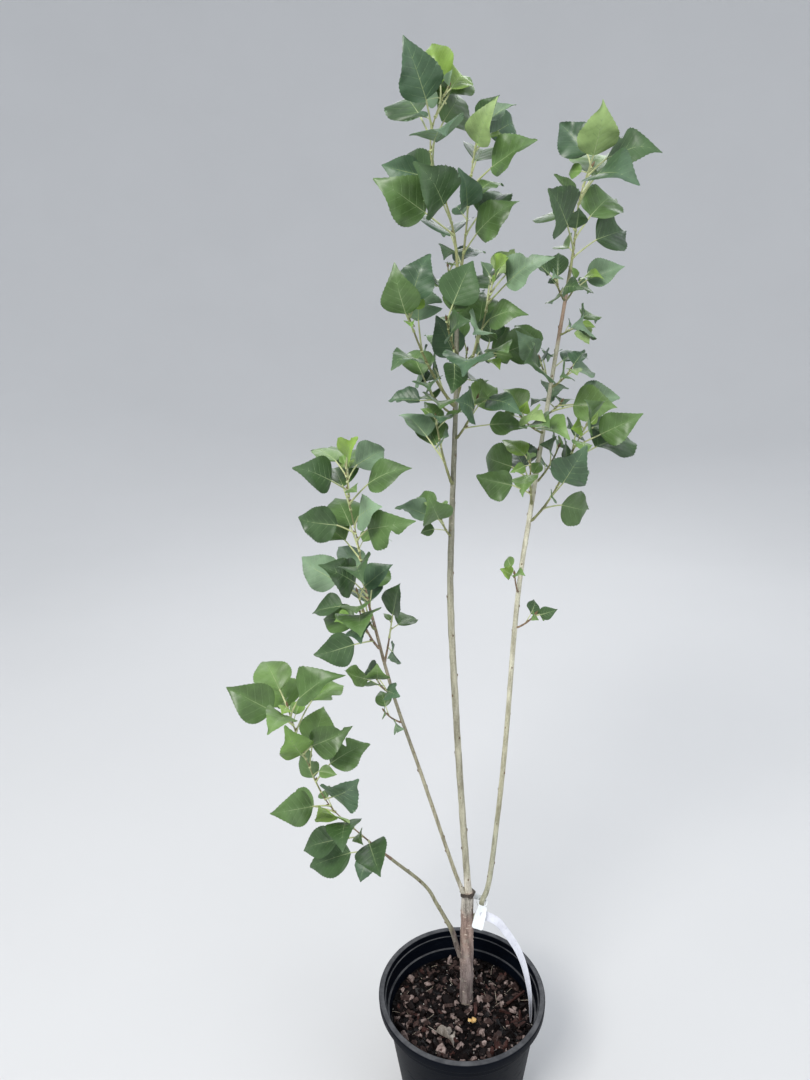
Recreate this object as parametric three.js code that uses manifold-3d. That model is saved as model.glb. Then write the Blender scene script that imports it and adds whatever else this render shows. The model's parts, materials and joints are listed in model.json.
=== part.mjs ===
// A young black poplar growing in a round nursery pot, with its blank white plant label.
// Millimetres, +Z up. The origin is the centre of the pot's flat underside.
// +X is the viewer's right and +Y points away from the viewer.

import * as THREE from 'three';
import { mergeVertices } from 'three/addons/utils/BufferGeometryUtils.js';
import Module from 'manifold-3d';

const wasm = await Module();
wasm.setup();

// Driving sizes of the pot and its filling
const GAP = 0.3;
const SAME_PLACE = 1e-4;
const POT_HEIGHT = 180;
const RIM_RADIUS = 112.5;
const RIM_DEPTH = 13;
const RIM_ROUND = 2;
const FOOT_RADIUS = 80;
const FOOT_BEVEL = 3;
const WALL = 2;
const SKIRT_DRAFT = 0.6;
const FLOOR = 2.5;
const UPPER_BORE = 104.5;
const MIDDLE_BORE = 102.5;
const MIDDLE_DRAFT = 1;
const LOWER_BORE = 98.5;
const UPPER_STEP = POT_HEIGHT - 9;
const LOWER_STEP = POT_HEIGHT - 28;
const DRAIN_HOLES = 8;
const DRAIN_RADIUS = 5;
const DRAIN_SIDES = 10;
const SOIL_LEVEL = 142;
const SOIL_GAP = 1.1 * GAP;
const AROUND = 32;

// Driving sizes of the trunk and its pruned top
const TRUNK_FOOT = new THREE.Vector3(8, 18, SOIL_LEVEL + GAP);
const TRUNK_TOP = new THREE.Vector3(9, 12, 333);
const TRUNK_FOOT_RADIUS = 9.4;
const TRUNK_TOP_RADIUS = 8.1;
const ROOT_FLARE = 1.8;
const ROOT_FLARE_HEIGHT = 5;
const CALLUS = 0.9;
const CALLUS_DEPTH = 7;
const CALLUS_CREST = 0.4;
const FLARE_STEPS = [0, 0.4, 1, 2.4];
const TRUNK_SIDES = 14;
const TRUNK_STRETCHES = 4;

const trunkPart = (height) => (height - TRUNK_FOOT.z) / (TRUNK_TOP.z - TRUNK_FOOT.z);
const trunkAxis = (height) => TRUNK_FOOT.clone().lerp(TRUNK_TOP, trunkPart(height));
const trunkRadius = (height) => (
  THREE.MathUtils.lerp(TRUNK_FOOT_RADIUS, TRUNK_TOP_RADIUS, trunkPart(height))
  + ROOT_FLARE * Math.exp((TRUNK_FOOT.z - height) / ROOT_FLARE_HEIGHT)
);

// The place just off the trunk's right (+1) or left (-1) side
function besideTrunk(height, side) {
  const place = trunkAxis(height);
  place.x += side * (trunkRadius(height) + GAP);
  return place.toArray();
}

// Stems: the places each one passes, its radius at each, and the way its cut foot faces
const STEM_FOOT_HEIGHT = TRUNK_TOP.z + GAP;
const STEMS = {
  middle: {
    through: [
      [10, 13, STEM_FOOT_HEIGHT], [1, 12, 480], [-6, 10, 616], [-11, 9, 746],
      [-9, 9, 842], [-4, 9, 975], [-2, 9, 1103],
    ],
    radii: [4.4, 4.1, 4.0, 3.8, 3.2, 2.5, 2.1],
    faces: [0, 0, 1],
  },
  right: {
    through: [
      besideTrunk(289, 1), [21.5, 13.2, 291.5], [25.5, 13, 301], [29, 13, 316],
      [39, 14, 357], [55, 17, 529],
      [68, 22, 734], [83, 26, 856], [102, 31, 992], [119, 36, 1107],
    ],
    radii: [3.8, 3.7, 3.6, 3.4, 3.3, 3.1, 2.9, 2.7, 2.2, 1.8],
    faces: [1, 0, 0],
  },
  left: {
    through: [
      [2.6, 10, STEM_FOOT_HEIGHT], [-13, 6, 387], [-50, -4, 527], [-79, -12, 634],
      [-102, -20, 745],
    ],
    radii: [2.7, 2.4, 2.2, 2.0, 1.7],
    faces: [0, 0, 1],
  },
  low: {
    through: [
      besideTrunk(226, -1), [-5.4, 14, 242], [-11, 12, 267], [-18.6, 8.8, 288],
      [-31, 3.5, 319], [-48, -6, 360], [-90, -18, 412],
    ],
    radii: [4.0, 3.4, 3.5, 2.8, 2.4, 2.2, 2.0],
    faces: [-1, 0, 0],
  },
};
const STEM_SIDES = 8;
const STEM_STEP = 55;
const TANGENT_STEP = 0.002;
const HALVINGS = 40;

// Leafy shoots: where each stands, how it grows, and how many leaves of what length it has.
// Headings are degrees from +X towards +Y, leans are degrees from upright.
// A space is what the shoot's leaves fill as seen from the front: an ellipse's centre
// and half sizes, [x, z, half width, half height].
const SHOOTS = [
  {
    name: 'middle_left_low', after: 'middle', heading: -165, lean: 13, length: 90,
    leaves: 5, size: 56, space: [-40, 1182, 45, 41],
  },
  {
    name: 'middle_left_top', after: 'middle_left_low', heading: -20, lean: 8, length: 80,
    leaves: 7, size: 60, space: [-24, 1266, 40, 43],
  },
  {
    name: 'middle_right_low', on: 'middle', height: 1095, heading: 40, lean: 10, length: 80,
    leaves: 5, size: 50, space: [24, 1168, 37, 29],
  },
  {
    name: 'middle_right_top', after: 'middle_right_low', heading: 25, lean: 10, length: 65,
    leaves: 6, size: 48, space: [32, 1226, 28, 33],
  },
  {
    name: 'middle_high_low', on: 'middle', height: 990, heading: -35, lean: 24, length: 75,
    leaves: 4, size: 50, space: [30, 1070, 29, 17],
  },
  {
    name: 'middle_high_top', after: 'middle_high_low', heading: -15, lean: 13, length: 40,
    leaves: 5, size: 50, space: [46, 1106, 27, 17],
  },
  {
    name: 'middle_left_high', on: 'middle', height: 970, heading: -155, lean: 28, length: 110,
    leaves: 6, size: 52, space: [-52, 1100, 32, 34],
  },
  {
    name: 'middle_front', on: 'middle', height: 1025, heading: -105, lean: 53, length: 60,
    leaves: 5, size: 46, space: [-4, 1094, 27, 17],
  },
  {
    name: 'middle_left_mid', on: 'middle', height: 960, heading: -150, lean: 45, length: 45,
    leaves: 5, size: 46, space: [-66, 1040, 31, 20],
  },
  {
    name: 'middle_left_long', on: 'middle', height: 885, heading: -120, lean: 25, length: 85,
    leaves: 5, size: 40, space: [-36, 970, 34, 42],
  },
  {
    name: 'middle_right_spur', on: 'middle', height: 935, heading: -50, lean: 34, length: 55,
    leaves: 4, size: 44, space: [28, 974, 34, 27],
  },
  {
    name: 'middle_low_spur', on: 'middle', height: 825, heading: -125, lean: 34, length: 35,
    leaves: 3, size: 50, space: [-36, 854, 24, 27],
  },
  {
    name: 'middle_right_mid', on: 'middle', height: 1005, heading: -25, lean: 58, length: 40,
    leaves: 5, size: 46, space: [48, 1032, 37, 26],
  },
  {
    name: 'middle_back_high', on: 'middle', height: 1050, heading: 95, lean: 43, length: 85,
    leaves: 4, size: 46, space: [30, 1122, 34, 13],
  },
  {
    name: 'middle_back_mid', on: 'middle', height: 975, heading: 75, lean: 54, length: 80,
    leaves: 4, size: 46, space: [-14, 1052, 27, 28],
  },
  {
    name: 'right_leader_low', after: 'right', heading: 20, lean: 6, length: 50,
    leaves: 5, size: 58, space: [130, 1148, 56, 35],
  },
  {
    name: 'right_leader_top', after: 'right_leader_low', heading: 15, lean: 17, length: 50,
    leaves: 5, size: 62, space: [134, 1210, 41, 43],
  },
  {
    name: 'right_high_left', on: 'right', height: 1075, heading: -135, lean: 37, length: 30,
    leaves: 3, size: 34, space: [100, 1102, 18, 16],
  },
  {
    name: 'right_high_right', on: 'right', height: 1075, heading: 50, lean: 51, length: 25,
    leaves: 3, size: 36, space: [138, 1100, 26, 19],
  },
  {
    name: 'right_up_spur', on: 'right', height: 1040, heading: -40, lean: 58, length: 20,
    leaves: 2, size: 44, space: [124, 1052, 18, 16],
  },
  {
    name: 'right_mid_spur', on: 'right', height: 985, heading: -25, lean: 45, length: 25,
    leaves: 3, size: 40, space: [122, 1006, 24, 16],
  },
  {
    name: 'right_left_up', on: 'right', height: 990, heading: -130, lean: 42, length: 35,
    leaves: 4, size: 46, space: [76, 1026, 19, 16],
  },
  {
    name: 'right_low_spur', on: 'right', height: 955, heading: 40, lean: 64, length: 25,
    leaves: 4, size: 40, space: [150, 972, 29, 25],
  },
  {
    name: 'right_left_mid', on: 'right', height: 935, heading: -135, lean: 59, length: 45,
    leaves: 4, size: 46, space: [64, 958, 30, 26],
  },
  {
    name: 'right_long_low', on: 'right', height: 835, heading: -20, lean: 30, length: 70,
    leaves: 4, size: 48, space: [122, 874, 24, 45],
  },
  {
    name: 'right_long_top', after: 'right_long_low', heading: -25, lean: 23, length: 55,
    leaves: 5, size: 58, space: [158, 936, 37, 28],
  },
  {
    name: 'right_left_low', on: 'right', height: 855, heading: -105, lean: 23, length: 60,
    leaves: 5, size: 48, space: [54, 902, 37, 37],
  },
  {
    name: 'right_back', on: 'right', height: 975, heading: 75, lean: 56, length: 75,
    leaves: 3, size: 40, space: [112, 966, 20, 26],
  },
  {
    name: 'right_mid_low', on: 'right', height: 880, heading: 20, lean: 35, length: 45,
    leaves: 4, size: 44, space: [106, 924, 24, 28],
  },
  {
    name: 'right_small_left', on: 'right', height: 750, heading: -115, lean: 28, length: 30,
    leaves: 1, size: 18, space: [58, 794, 14, 14],
  },
  {
    name: 'right_small_right', on: 'right', height: 705, heading: -30, lean: 46, length: 30,
    leaves: 2, size: 20, space: [92, 736, 23, 16],
  },
  {
    name: 'left_leader_low', after: 'left', heading: -160, lean: 9, length: 40,
    leaves: 5, size: 48, space: [-130, 788, 63, 27],
  },
  {
    name: 'left_leader_mid', after: 'left_leader_low', heading: -160, lean: 8, length: 70,
    leaves: 6, size: 50, space: [-120, 840, 58, 32],
  },
  {
    name: 'left_leader_top', after: 'left_leader_mid', heading: -145, lean: 5, length: 60,
    leaves: 7, size: 50, space: [-118, 904, 50, 37],
  },
  {
    name: 'left_spur_high', on: 'left', height: 725, heading: -120, lean: 29, length: 65,
    leaves: 4, size: 52, space: [-134, 772, 31, 23],
  },
  {
    name: 'left_spur_mid', on: 'left', height: 700, heading: -120, lean: 32, length: 70,
    leaves: 4, size: 56, space: [-132, 716, 32, 29],
  },
  {
    name: 'left_spur_low', on: 'left', height: 640, heading: -125, lean: 42, length: 40,
    leaves: 5, size: 38, space: [-80, 720, 25, 27],
  },
  {
    name: 'left_back', on: 'left', height: 680, heading: 80, lean: 58, length: 55,
    leaves: 3, size: 46, space: [-84, 764, 20, 17],
  },
  {
    name: 'left_small', on: 'left', height: 600, heading: -150, lean: 45, length: 30,
    leaves: 3, size: 22, space: [-90, 642, 28, 31],
  },
  {
    name: 'low_leader_foot', after: 'low', heading: -165, lean: 39, length: 90,
    leaves: 5, size: 56, space: [-148, 402, 59, 57],
  },
  {
    name: 'low_leader_mid', after: 'low_leader_foot', heading: -160, lean: 28, length: 55,
    leaves: 4, size: 60, space: [-164, 474, 57, 42],
  },
  {
    name: 'low_leader_upper', after: 'low_leader_mid', heading: -150, lean: 17, length: 65,
    leaves: 4, size: 62, space: [-172, 564, 51, 52],
  },
  {
    name: 'low_leader_top', after: 'low_leader_upper', heading: -145, lean: 13, length: 60,
    leaves: 6, size: 62, space: [-202, 634, 76, 47],
  },
];
const TUBE_ACROSS = new THREE.Vector3(0.31, -0.87, 0.38);
const TWIG_SIDES = 5;
const TWIG_FOOT_RADIUS = 1.0;
const LEADER_PART = 0.95;
const LEADER_BEND = 0.5;
const TWIG_SWELL = 0.011;
const TWIG_TAPER = 0.013;
const TWIG_TIP_RADIUS = 0.8;
const TWIG_BEND = new THREE.Vector3(0.65, 0.65, 0.42);
const SHORT_TWIG = 60;
const SHORT_TWIG_STEPS = [0, 0.2, 0.55, 1];
const LONG_TWIG_STEPS = [0, 0.16, 0.4, 0.7, 1];

// Driving sizes of a leaf, its breadths as parts of its own length
const RIB_THICKNESS = 1.4;
const TIP_THICKNESS = RIB_THICKNESS / 3;
const LEAF_TIP = 0.012;
const LEAF_STATIONS = [[0.12, 0.30], [0.34, 0.45], [0.64, 0.26], [1, LEAF_TIP]];
const PETIOLE_RADIUS = 0.75;

// How leaves are set: each is drawn a number of times, and the best clear one is kept
const SEED = 16;
const SEED_STEP = 97;
const TRIES = 120;
const SPENT_DRAWS = 4;
const MULTIPLIER = 16807;
const MODULUS = 2 ** 31 - 1;
const LEAF_DRAWS = 8;
const FIRST_LEAF = 0.1;
const LAST_LEAF = 0.985;
const NODE_VARY = 0.3;
const NODE_CROWDING = 0.9;
const SPIRAL = THREE.MathUtils.degToRad(137.5);
const SPIRAL_VARY = 1.5;
const LIGHT = new THREE.Vector3(0, -0.9, 0.3);
const SHOOT_PULL = 0.2;
const LEAF_ROLL = THREE.MathUtils.degToRad(40);

// How a leaf changes from its shoot's foot to its tip, [at the foot, at the tip, either way]
const OPENING = [70, 28, 16].map(THREE.MathUtils.degToRad);
const FALL = [0.6, -0.3, 0.55];
const PETIOLE_PART = [0.72, 0.36, 0.25];
const SIZE_VARY = 0.2;
const TIP_SHRINK = 0.2;
const OUTWARD = 0.45;
const PETIOLE_KNEE = 0.6;
const FOLD = [0.16, 0.14];
const CURL = [0.12, 0.14];

// What keeps leaves clear of each other and of wood: margins, and how closely places are tested
const BLADE_MARGIN = 2.6;
const STALK_MARGIN = 1.1;
const WOOD_MARGIN = 0.4;
const FIRST_ROW = 0.05;
const LEAF_ROWS = 11;
const LEAF_LANES = 7;
const STALK_STEP = 3;
const TRUNK_TESTS = 60;
const STEM_TESTS = 320;
const STEM_GROUP = 20;
const TWIG_TESTS = 28;

// The eye that sees the plant from the front, and how what it sees is counted
const EYE = new THREE.Vector3(-62, -853, 1095);
const CELL = 6;
const OUTSIDE_COST = 1.2;
const COVERED_COST = 0.5;

// Driving sizes of the label: a looped head and a strip that arches down to the soil
const LABEL_THICKNESS = 0.8;
const STRIP_WIDTH = 11;
const STRIP_TIP_WIDTH = 4;
const STRIP_STATIONS = 11;
const STRIP_NARROWING = 3;
const STRIP_PATH = [
  [25, -1.4, 302.5], [32, 3, 300], [48, 2, 290.5], [61.5, -0.5, 272], [73.5, -4, 252],
  [82, -7.5, 230], [88, -11.5, 203.5], [91.4, -15, 176.5], [92.4, -18.5, SOIL_LEVEL + 2 * GAP],
];
const STRIP_ACROSS_HEAD = [0.41, 0.61, 0.67];
const STRIP_ACROSS_TIP = [0.15, 0.98, 0];
const HEAD_TOP = [29, 6.8, 312.6];
const HEAD_FOOT = [19.6, -10, 291.2];
const HEAD_ACROSS = [0.92, -0.2, -0.32];
const HEAD_WIDTH = 15;
const HEAD_NARROWING = 0.8;
const HEAD_THICKNESS = 1.2;
const TAB_FOOT = [29.5, 18.8, 315.6];
const TAB_END = [18.8, 17, 320];
const TAB_ACROSS = [0.3, 0, 0.95];
const TAB_WIDTH = 9;
const LOOP_CENTRE = [28.3, 13, 313];
const LOOP_AXIS = [0.24, -0.4, 0.9];
const LOOP_RADIUS = 5.8;
const LOOP_WIDTH = 4;
const LOOP_THICKNESS = 1.2;
const LOOP_SIDES = 12;

const vector = (list) => new THREE.Vector3(...list);

// Closed solids from corners and triangles

function solid(corners, triangles) {
  return new wasm.Manifold(new wasm.Mesh({
    numProp: 3,
    vertProperties: new Float32Array(corners.flatMap((corner) => corner.toArray())),
    triVerts: new Uint32Array(triangles.flat()),
  }));
}

function solidFromGeometry(geometry) {
  const bare = geometry.clone();
  bare.deleteAttribute('normal');
  bare.deleteAttribute('uv');
  const merged = mergeVertices(bare, SAME_PLACE);
  return new wasm.Manifold(new wasm.Mesh({
    numProp: 3,
    vertProperties: merged.attributes.position.array,
    triVerts: new Uint32Array(merged.index.array),
  }));
}

function geometryFromSolid(body) {
  const mesh = body.getMesh();
  const geometry = new THREE.BufferGeometry();
  geometry.setAttribute('position', new THREE.BufferAttribute(mesh.vertProperties, mesh.numProp));
  geometry.setIndex(new THREE.BufferAttribute(mesh.triVerts, 1));
  geometry.computeVertexNormals();
  return geometry;
}

// A skin over rings of equally many corners, with a flat cap on each end
function loft(rings) {
  const sides = rings[0].length;
  const triangles = [];
  for (let ring = 0; ring + 1 < rings.length; ring += 1) {
    for (let side = 0; side < sides; side += 1) {
      const a = ring * sides + side;
      const b = ring * sides + (side + 1) % sides;
      triangles.push([a, b, b + sides], [a, b + sides, a + sides]);
    }
  }
  const last = (rings.length - 1) * sides;
  for (let side = 1; side + 1 < sides; side += 1) {
    triangles.push([0, side + 1, side], [last, last + side, last + side + 1]);
  }
  return solid(rings.flat(), triangles);
}

// A ring of corners round a centre, square to an axis and in step with the ring before it
function ringAround(centre, axis, radius, sides, across) {
  const first = across.clone().addScaledVector(axis, -across.dot(axis)).normalize();
  const second = new THREE.Vector3().crossVectors(axis, first);
  across.copy(first);
  return Array.from({ length: sides }, (unused, side) => {
    const turn = side / sides * 2 * Math.PI;
    return centre.clone()
      .addScaledVector(first, radius * Math.cos(turn))
      .addScaledVector(second, radius * Math.sin(turn));
  });
}

// A round tapering tube through the places of a curve, its first ring facing the given way
function tube(places, directions, radii, sides) {
  const across = TUBE_ACROSS.clone();
  return loft(places.map((place, index) => (
    ringAround(place, directions[index], radii[index], sides, across)
  )));
}

// The pot: a tapered wall with a flat floor, a deep turned-down rim and two steps inside

function potSolid() {
  const rimFoot = POT_HEIGHT - RIM_DEPTH;
  const wallTop = MIDDLE_BORE + WALL;
  const profile = [
    [0, 0], [FOOT_RADIUS - FOOT_BEVEL, 0], [FOOT_RADIUS, FOOT_BEVEL],
    [LOWER_BORE + WALL, LOWER_STEP - WALL], [wallTop, LOWER_STEP],
    [wallTop + SKIRT_DRAFT, rimFoot], [RIM_RADIUS - SKIRT_DRAFT, rimFoot],
    [RIM_RADIUS, POT_HEIGHT - RIM_ROUND],
    [RIM_RADIUS - RIM_ROUND, POT_HEIGHT], [UPPER_BORE + RIM_ROUND, POT_HEIGHT],
    [UPPER_BORE, POT_HEIGHT - RIM_ROUND], [UPPER_BORE, UPPER_STEP], [MIDDLE_BORE, UPPER_STEP],
    [MIDDLE_BORE - MIDDLE_DRAFT, LOWER_STEP], [LOWER_BORE, LOWER_STEP],
    [FOOT_RADIUS - WALL, FLOOR], [0, FLOOR],
  ];
  const lathe = new THREE.LatheGeometry(profile.map(([x, y]) => new THREE.Vector2(x, y)), AROUND);
  lathe.rotateX(Math.PI / 2);
  let pot = solidFromGeometry(lathe);
  for (let hole = 0; hole < DRAIN_HOLES; hole += 1) {
    const turn = (hole + 0.5) / DRAIN_HOLES * 2 * Math.PI;
    const bore = new THREE.CylinderGeometry(DRAIN_RADIUS, DRAIN_RADIUS, 4 * FLOOR, DRAIN_SIDES);
    bore.rotateX(Math.PI / 2);
    bore.translate(
      (FOOT_RADIUS - 2 * DRAIN_RADIUS) * Math.cos(turn),
      (FOOT_RADIUS - 2 * DRAIN_RADIUS) * Math.sin(turn),
      0,
    );
    pot = pot.subtract(solidFromGeometry(bore));
  }
  return pot;
}

function compostSolid() {
  const bottom = FLOOR + GAP;
  const slope = (LOWER_BORE - FOOT_RADIUS + WALL) / (LOWER_STEP - FLOOR);
  const radiusAt = (height) => FOOT_RADIUS - WALL - SOIL_GAP + slope * (height - FLOOR);
  const profile = [
    [0, bottom], [radiusAt(bottom), bottom], [radiusAt(SOIL_LEVEL), SOIL_LEVEL], [0, SOIL_LEVEL],
  ];
  const lathe = new THREE.LatheGeometry(profile.map(([x, y]) => new THREE.Vector2(x, y)), AROUND);
  lathe.rotateX(Math.PI / 2);
  return solidFromGeometry(lathe);
}

// The trunk: flared at the soil, slightly tapered, with a swollen lip round its pruned top
function trunkSolid() {
  const flares = FLARE_STEPS.map((part) => TRUNK_FOOT.z + part * ROOT_FLARE_HEIGHT);
  const flareTop = flares.at(-1);
  const plain = Array.from({ length: TRUNK_STRETCHES }, (unused, stretch) => (
    THREE.MathUtils.lerp(flareTop, TRUNK_TOP.z - CALLUS_DEPTH, (stretch + 1) / TRUNK_STRETCHES)
  ));
  const lip = TRUNK_TOP.z - CALLUS_CREST * CALLUS_DEPTH;
  const up = new THREE.Vector3(0, 0, 1);
  const across = new THREE.Vector3(1, 0, 0);
  return loft([...flares, ...plain, lip, TRUNK_TOP.z].map((height) => {
    const radius = trunkRadius(height) + (height === lip ? CALLUS : 0);
    return ringAround(trunkAxis(height), up, radius, TRUNK_SIDES, across);
  }));
}

// Stems follow a smooth curve through their places

for (const stem of Object.values(STEMS)) {
  stem.curve = new THREE.CatmullRomCurve3(stem.through.map(vector), false, 'catmullrom', 0.5);
}

function stemRadius(stem, t) {
  const stretches = stem.radii.length - 1;
  const before = Math.min(Math.floor(t * stretches), stretches - 1);
  return THREE.MathUtils.lerp(stem.radii[before], stem.radii[before + 1], t * stretches - before);
}

function stemDirection(stem, t) {
  const before = stem.curve.getPoint(Math.max(t - TANGENT_STEP, 0));
  const after = stem.curve.getPoint(Math.min(t + TANGENT_STEP, 1));
  return after.sub(before).normalize();
}

function stemSolid(stem) {
  const places = stem.through.map(vector);
  const times = [0];
  for (let stretch = 1; stretch < places.length; stretch += 1) {
    const steps = Math.ceil(places[stretch].distanceTo(places[stretch - 1]) / STEM_STEP);
    for (let step = 1; step <= steps; step += 1) {
      times.push((stretch - 1 + step / steps) / (places.length - 1));
    }
  }
  const directions = times.map((t) => stemDirection(stem, t));
  directions[0] = vector(stem.faces);
  return tube(
    times.map((t) => stem.curve.getPoint(t)),
    directions,
    times.map((t) => stemRadius(stem, t)),
    STEM_SIDES,
  );
}

function timeAtHeight(stem, height) {
  let low = 0;
  let high = 1;
  for (let halving = 0; halving < HALVINGS; halving += 1) {
    const middle = (low + high) / 2;
    if (stem.curve.getPoint(middle).z < height) {
      low = middle;
    } else {
      high = middle;
    }
  }
  return low;
}

// A shoot's curve leaves its stem sideways and turns up, or carries on from a stem's tip
function shootCurve(shoot, grown) {
  const heading = THREE.MathUtils.degToRad(shoot.heading);
  const lean = THREE.MathUtils.degToRad(shoot.lean);
  const way = new THREE.Vector3(
    Math.sin(lean) * Math.cos(heading),
    Math.sin(lean) * Math.sin(heading),
    Math.cos(lean),
  );
  if (shoot.on) {
    const stem = STEMS[shoot.on];
    const t = timeAtHeight(stem, shoot.height);
    const along = stemDirection(stem, t);
    const out = new THREE.Vector3(Math.cos(heading), Math.sin(heading), 0);
    out.addScaledVector(along, -out.dot(along)).normalize();
    const foot = stem.curve.getPoint(t).addScaledVector(out, stemRadius(stem, t) + GAP);
    const bend = way.clone().multiply(TWIG_BEND);
    return {
      foot,
      bend: foot.clone().addScaledVector(bend, shoot.length),
      tip: foot.clone().addScaledVector(way, shoot.length),
      faces: out,
      radius: TWIG_FOOT_RADIUS + TWIG_SWELL * shoot.length,
    };
  }
  const stem = STEMS[shoot.after];
  const parent = grown[shoot.after];
  const end = stem ? stem.curve.getPoint(1) : parent.tip;
  const faces = stem ? stemDirection(stem, 1) : parent.tip.clone().sub(parent.bend).normalize();
  const foot = end.clone().addScaledVector(faces, GAP);
  return {
    foot,
    bend: foot.clone().addScaledVector(faces, LEADER_BEND * shoot.length),
    tip: foot.clone().addScaledVector(way, shoot.length),
    faces,
    radius: stem ? LEADER_PART * stemRadius(stem, 1) : twigRadius(parent, parent.length, 1),
  };
}

const twigRadius = (curve, length, t) => (
  Math.max(curve.radius - TWIG_TAPER * length * t, TWIG_TIP_RADIUS)
);

function pointOn({ foot, bend, tip }, t) {
  return foot.clone().multiplyScalar((1 - t) ** 2)
    .addScaledVector(bend, 2 * t * (1 - t))
    .addScaledVector(tip, t * t);
}

function directionOn({ foot, bend, tip }, t) {
  return bend.clone().sub(foot).multiplyScalar(1 - t)
    .addScaledVector(tip.clone().sub(bend), t)
    .normalize();
}

// The same seed always gives the same row of numbers between 0 and 1
function numbersFrom(seed) {
  let state = seed;
  return () => {
    state = state * MULTIPLIER % MODULUS;
    return (state - 1) / (MODULUS - 1);
  };
}

// One try of a leaf: leaves stand round the shoot in a spiral, wide and hanging at its foot
// and close at its tip, each blade turned to the light
function leafAt(shoot, curve, start, index, vary) {
  const part = (index + 0.5 + NODE_VARY * vary[0]) / shoot.leaves;
  const t = Math.min(FIRST_LEAF + (1 - FIRST_LEAF) * part ** NODE_CROWDING, LAST_LEAF);
  const node = pointOn(curve, t);
  const along = directionOn(curve, t);
  const side = new THREE.Vector3().crossVectors(along, new THREE.Vector3(0, 1, 0)).normalize();
  const other = new THREE.Vector3().crossVectors(along, side);
  const turn = start + SPIRAL * index + SPIRAL_VARY * vary[1];
  const out = side.multiplyScalar(Math.cos(turn)).addScaledVector(other, Math.sin(turn));
  const opening = THREE.MathUtils.lerp(OPENING[0], OPENING[1], part) + OPENING[2] * vary[2];
  const grow = along.multiplyScalar(Math.cos(opening)).addScaledVector(out, Math.sin(opening));
  const size = shoot.size * (1 + SIZE_VARY * vary[3]) * (1 - TIP_SHRINK * part * part);
  const petiole = size * THREE.MathUtils.lerp(PETIOLE_PART[0], PETIOLE_PART[1], part)
    * (1 + PETIOLE_PART[2] * vary[7]);
  const level = new THREE.Vector3(out.x, out.y, 0).normalize();
  const axis = grow.clone().addScaledVector(level, OUTWARD);
  axis.z -= THREE.MathUtils.lerp(FALL[0], FALL[1], part) + FALL[2] * vary[4];
  axis.normalize();
  const faces = directionOn(curve, t).multiplyScalar(SHOOT_PULL).add(LIGHT);
  faces.addScaledVector(axis, -faces.dot(axis)).normalize();
  const across = new THREE.Vector3().crossVectors(faces, axis);
  const roll = LEAF_ROLL * vary[5];
  const normal = faces.clone().multiplyScalar(Math.cos(roll)).addScaledVector(across, Math.sin(roll));
  across.multiplyScalar(Math.cos(roll)).addScaledVector(faces, -Math.sin(roll));
  const foot = node.clone().addScaledVector(grow, PETIOLE_KNEE * petiole)
    .addScaledVector(grow.clone().add(axis).normalize(), (1 - PETIOLE_KNEE) * petiole);
  return {
    node, foot, grow, axis, across, normal, size,
    fold: FOLD[0] + FOLD[1] * vary[6],
    curl: CURL[0] - CURL[1] * vary[6],
  };
}

// A place on the blade: u runs from foot to tip, v across, both in leaf lengths
function bladePoint(leaf, u, v, lift) {
  return leaf.foot.clone()
    .addScaledVector(leaf.axis, leaf.size * u)
    .addScaledVector(leaf.across, leaf.size * v)
    .addScaledVector(leaf.normal, leaf.size * (leaf.fold * Math.abs(v) - leaf.curl * u * u) + lift);
}

function halfBreadth(u) {
  const stations = [[0, 0], ...LEAF_STATIONS];
  const after = Math.max(stations.findIndex(([place]) => place >= u), 1);
  const [low, narrow] = stations[after - 1];
  const [high, broad] = stations[after];
  return THREE.MathUtils.mapLinear(u, low, high, narrow, broad);
}

// Places all over a leaf's blade, in rows from foot to tip
function bladePlaces(leaf) {
  const places = [];
  for (let row = 0; row < LEAF_ROWS; row += 1) {
    const u = THREE.MathUtils.lerp(FIRST_ROW, 1, row / (LEAF_ROWS - 1));
    for (let lane = 0; lane < LEAF_LANES; lane += 1) {
      const v = (2 * lane / (LEAF_LANES - 1) - 1) * halfBreadth(u);
      places.push(bladePoint(leaf, u, v, 0));
    }
  }
  return places;
}

// Places along a leaf's stalk, past what is sunk in its twig
function stalkPlaces(leaf) {
  const length = leaf.foot.distanceTo(leaf.node);
  const places = [];
  for (let reach = STALK_STEP; reach < length; reach += STALK_STEP) {
    places.push(leaf.node.clone().lerp(leaf.foot, reach / length));
  }
  return places;
}

// A group of places, each with a margin round it that nothing else may enter
function groupOf(owner, places, margins) {
  const centre = new THREE.Vector3();
  for (const place of places) {
    centre.addScaledVector(place, 1 / places.length);
  }
  const reach = Math.max(...places.map((place, index) => place.distanceTo(centre) + margins[index]));
  return { owner, places, margins, centre, reach };
}

const meet = (one, other) => (
  one.centre.distanceTo(other.centre) < one.reach + other.reach
  && one.places.some((place, index) => other.places.some((away, number) => (
    place.distanceTo(away) < one.margins[index] + other.margins[number]
  )))
);

function trunkGroups() {
  const heights = Array.from({ length: TRUNK_TESTS }, (unused, step) => (
    THREE.MathUtils.lerp(TRUNK_FOOT.z, TRUNK_TOP.z, step / (TRUNK_TESTS - 1))
  ));
  return [groupOf('trunk', heights.map(trunkAxis), heights.map((z) => trunkRadius(z) + WOOD_MARGIN))];
}

function stemGroups(name, stem) {
  const groups = [];
  for (let first = 0; first < STEM_TESTS; first += STEM_GROUP) {
    const times = Array.from({ length: STEM_GROUP }, (unused, step) => (
      (first + step) / (STEM_TESTS - 1)
    ));
    groups.push(groupOf(
      name,
      times.map((t) => stem.curve.getPoint(t)),
      times.map((t) => stemRadius(stem, t) + WOOD_MARGIN),
    ));
  }
  return groups;
}

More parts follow.
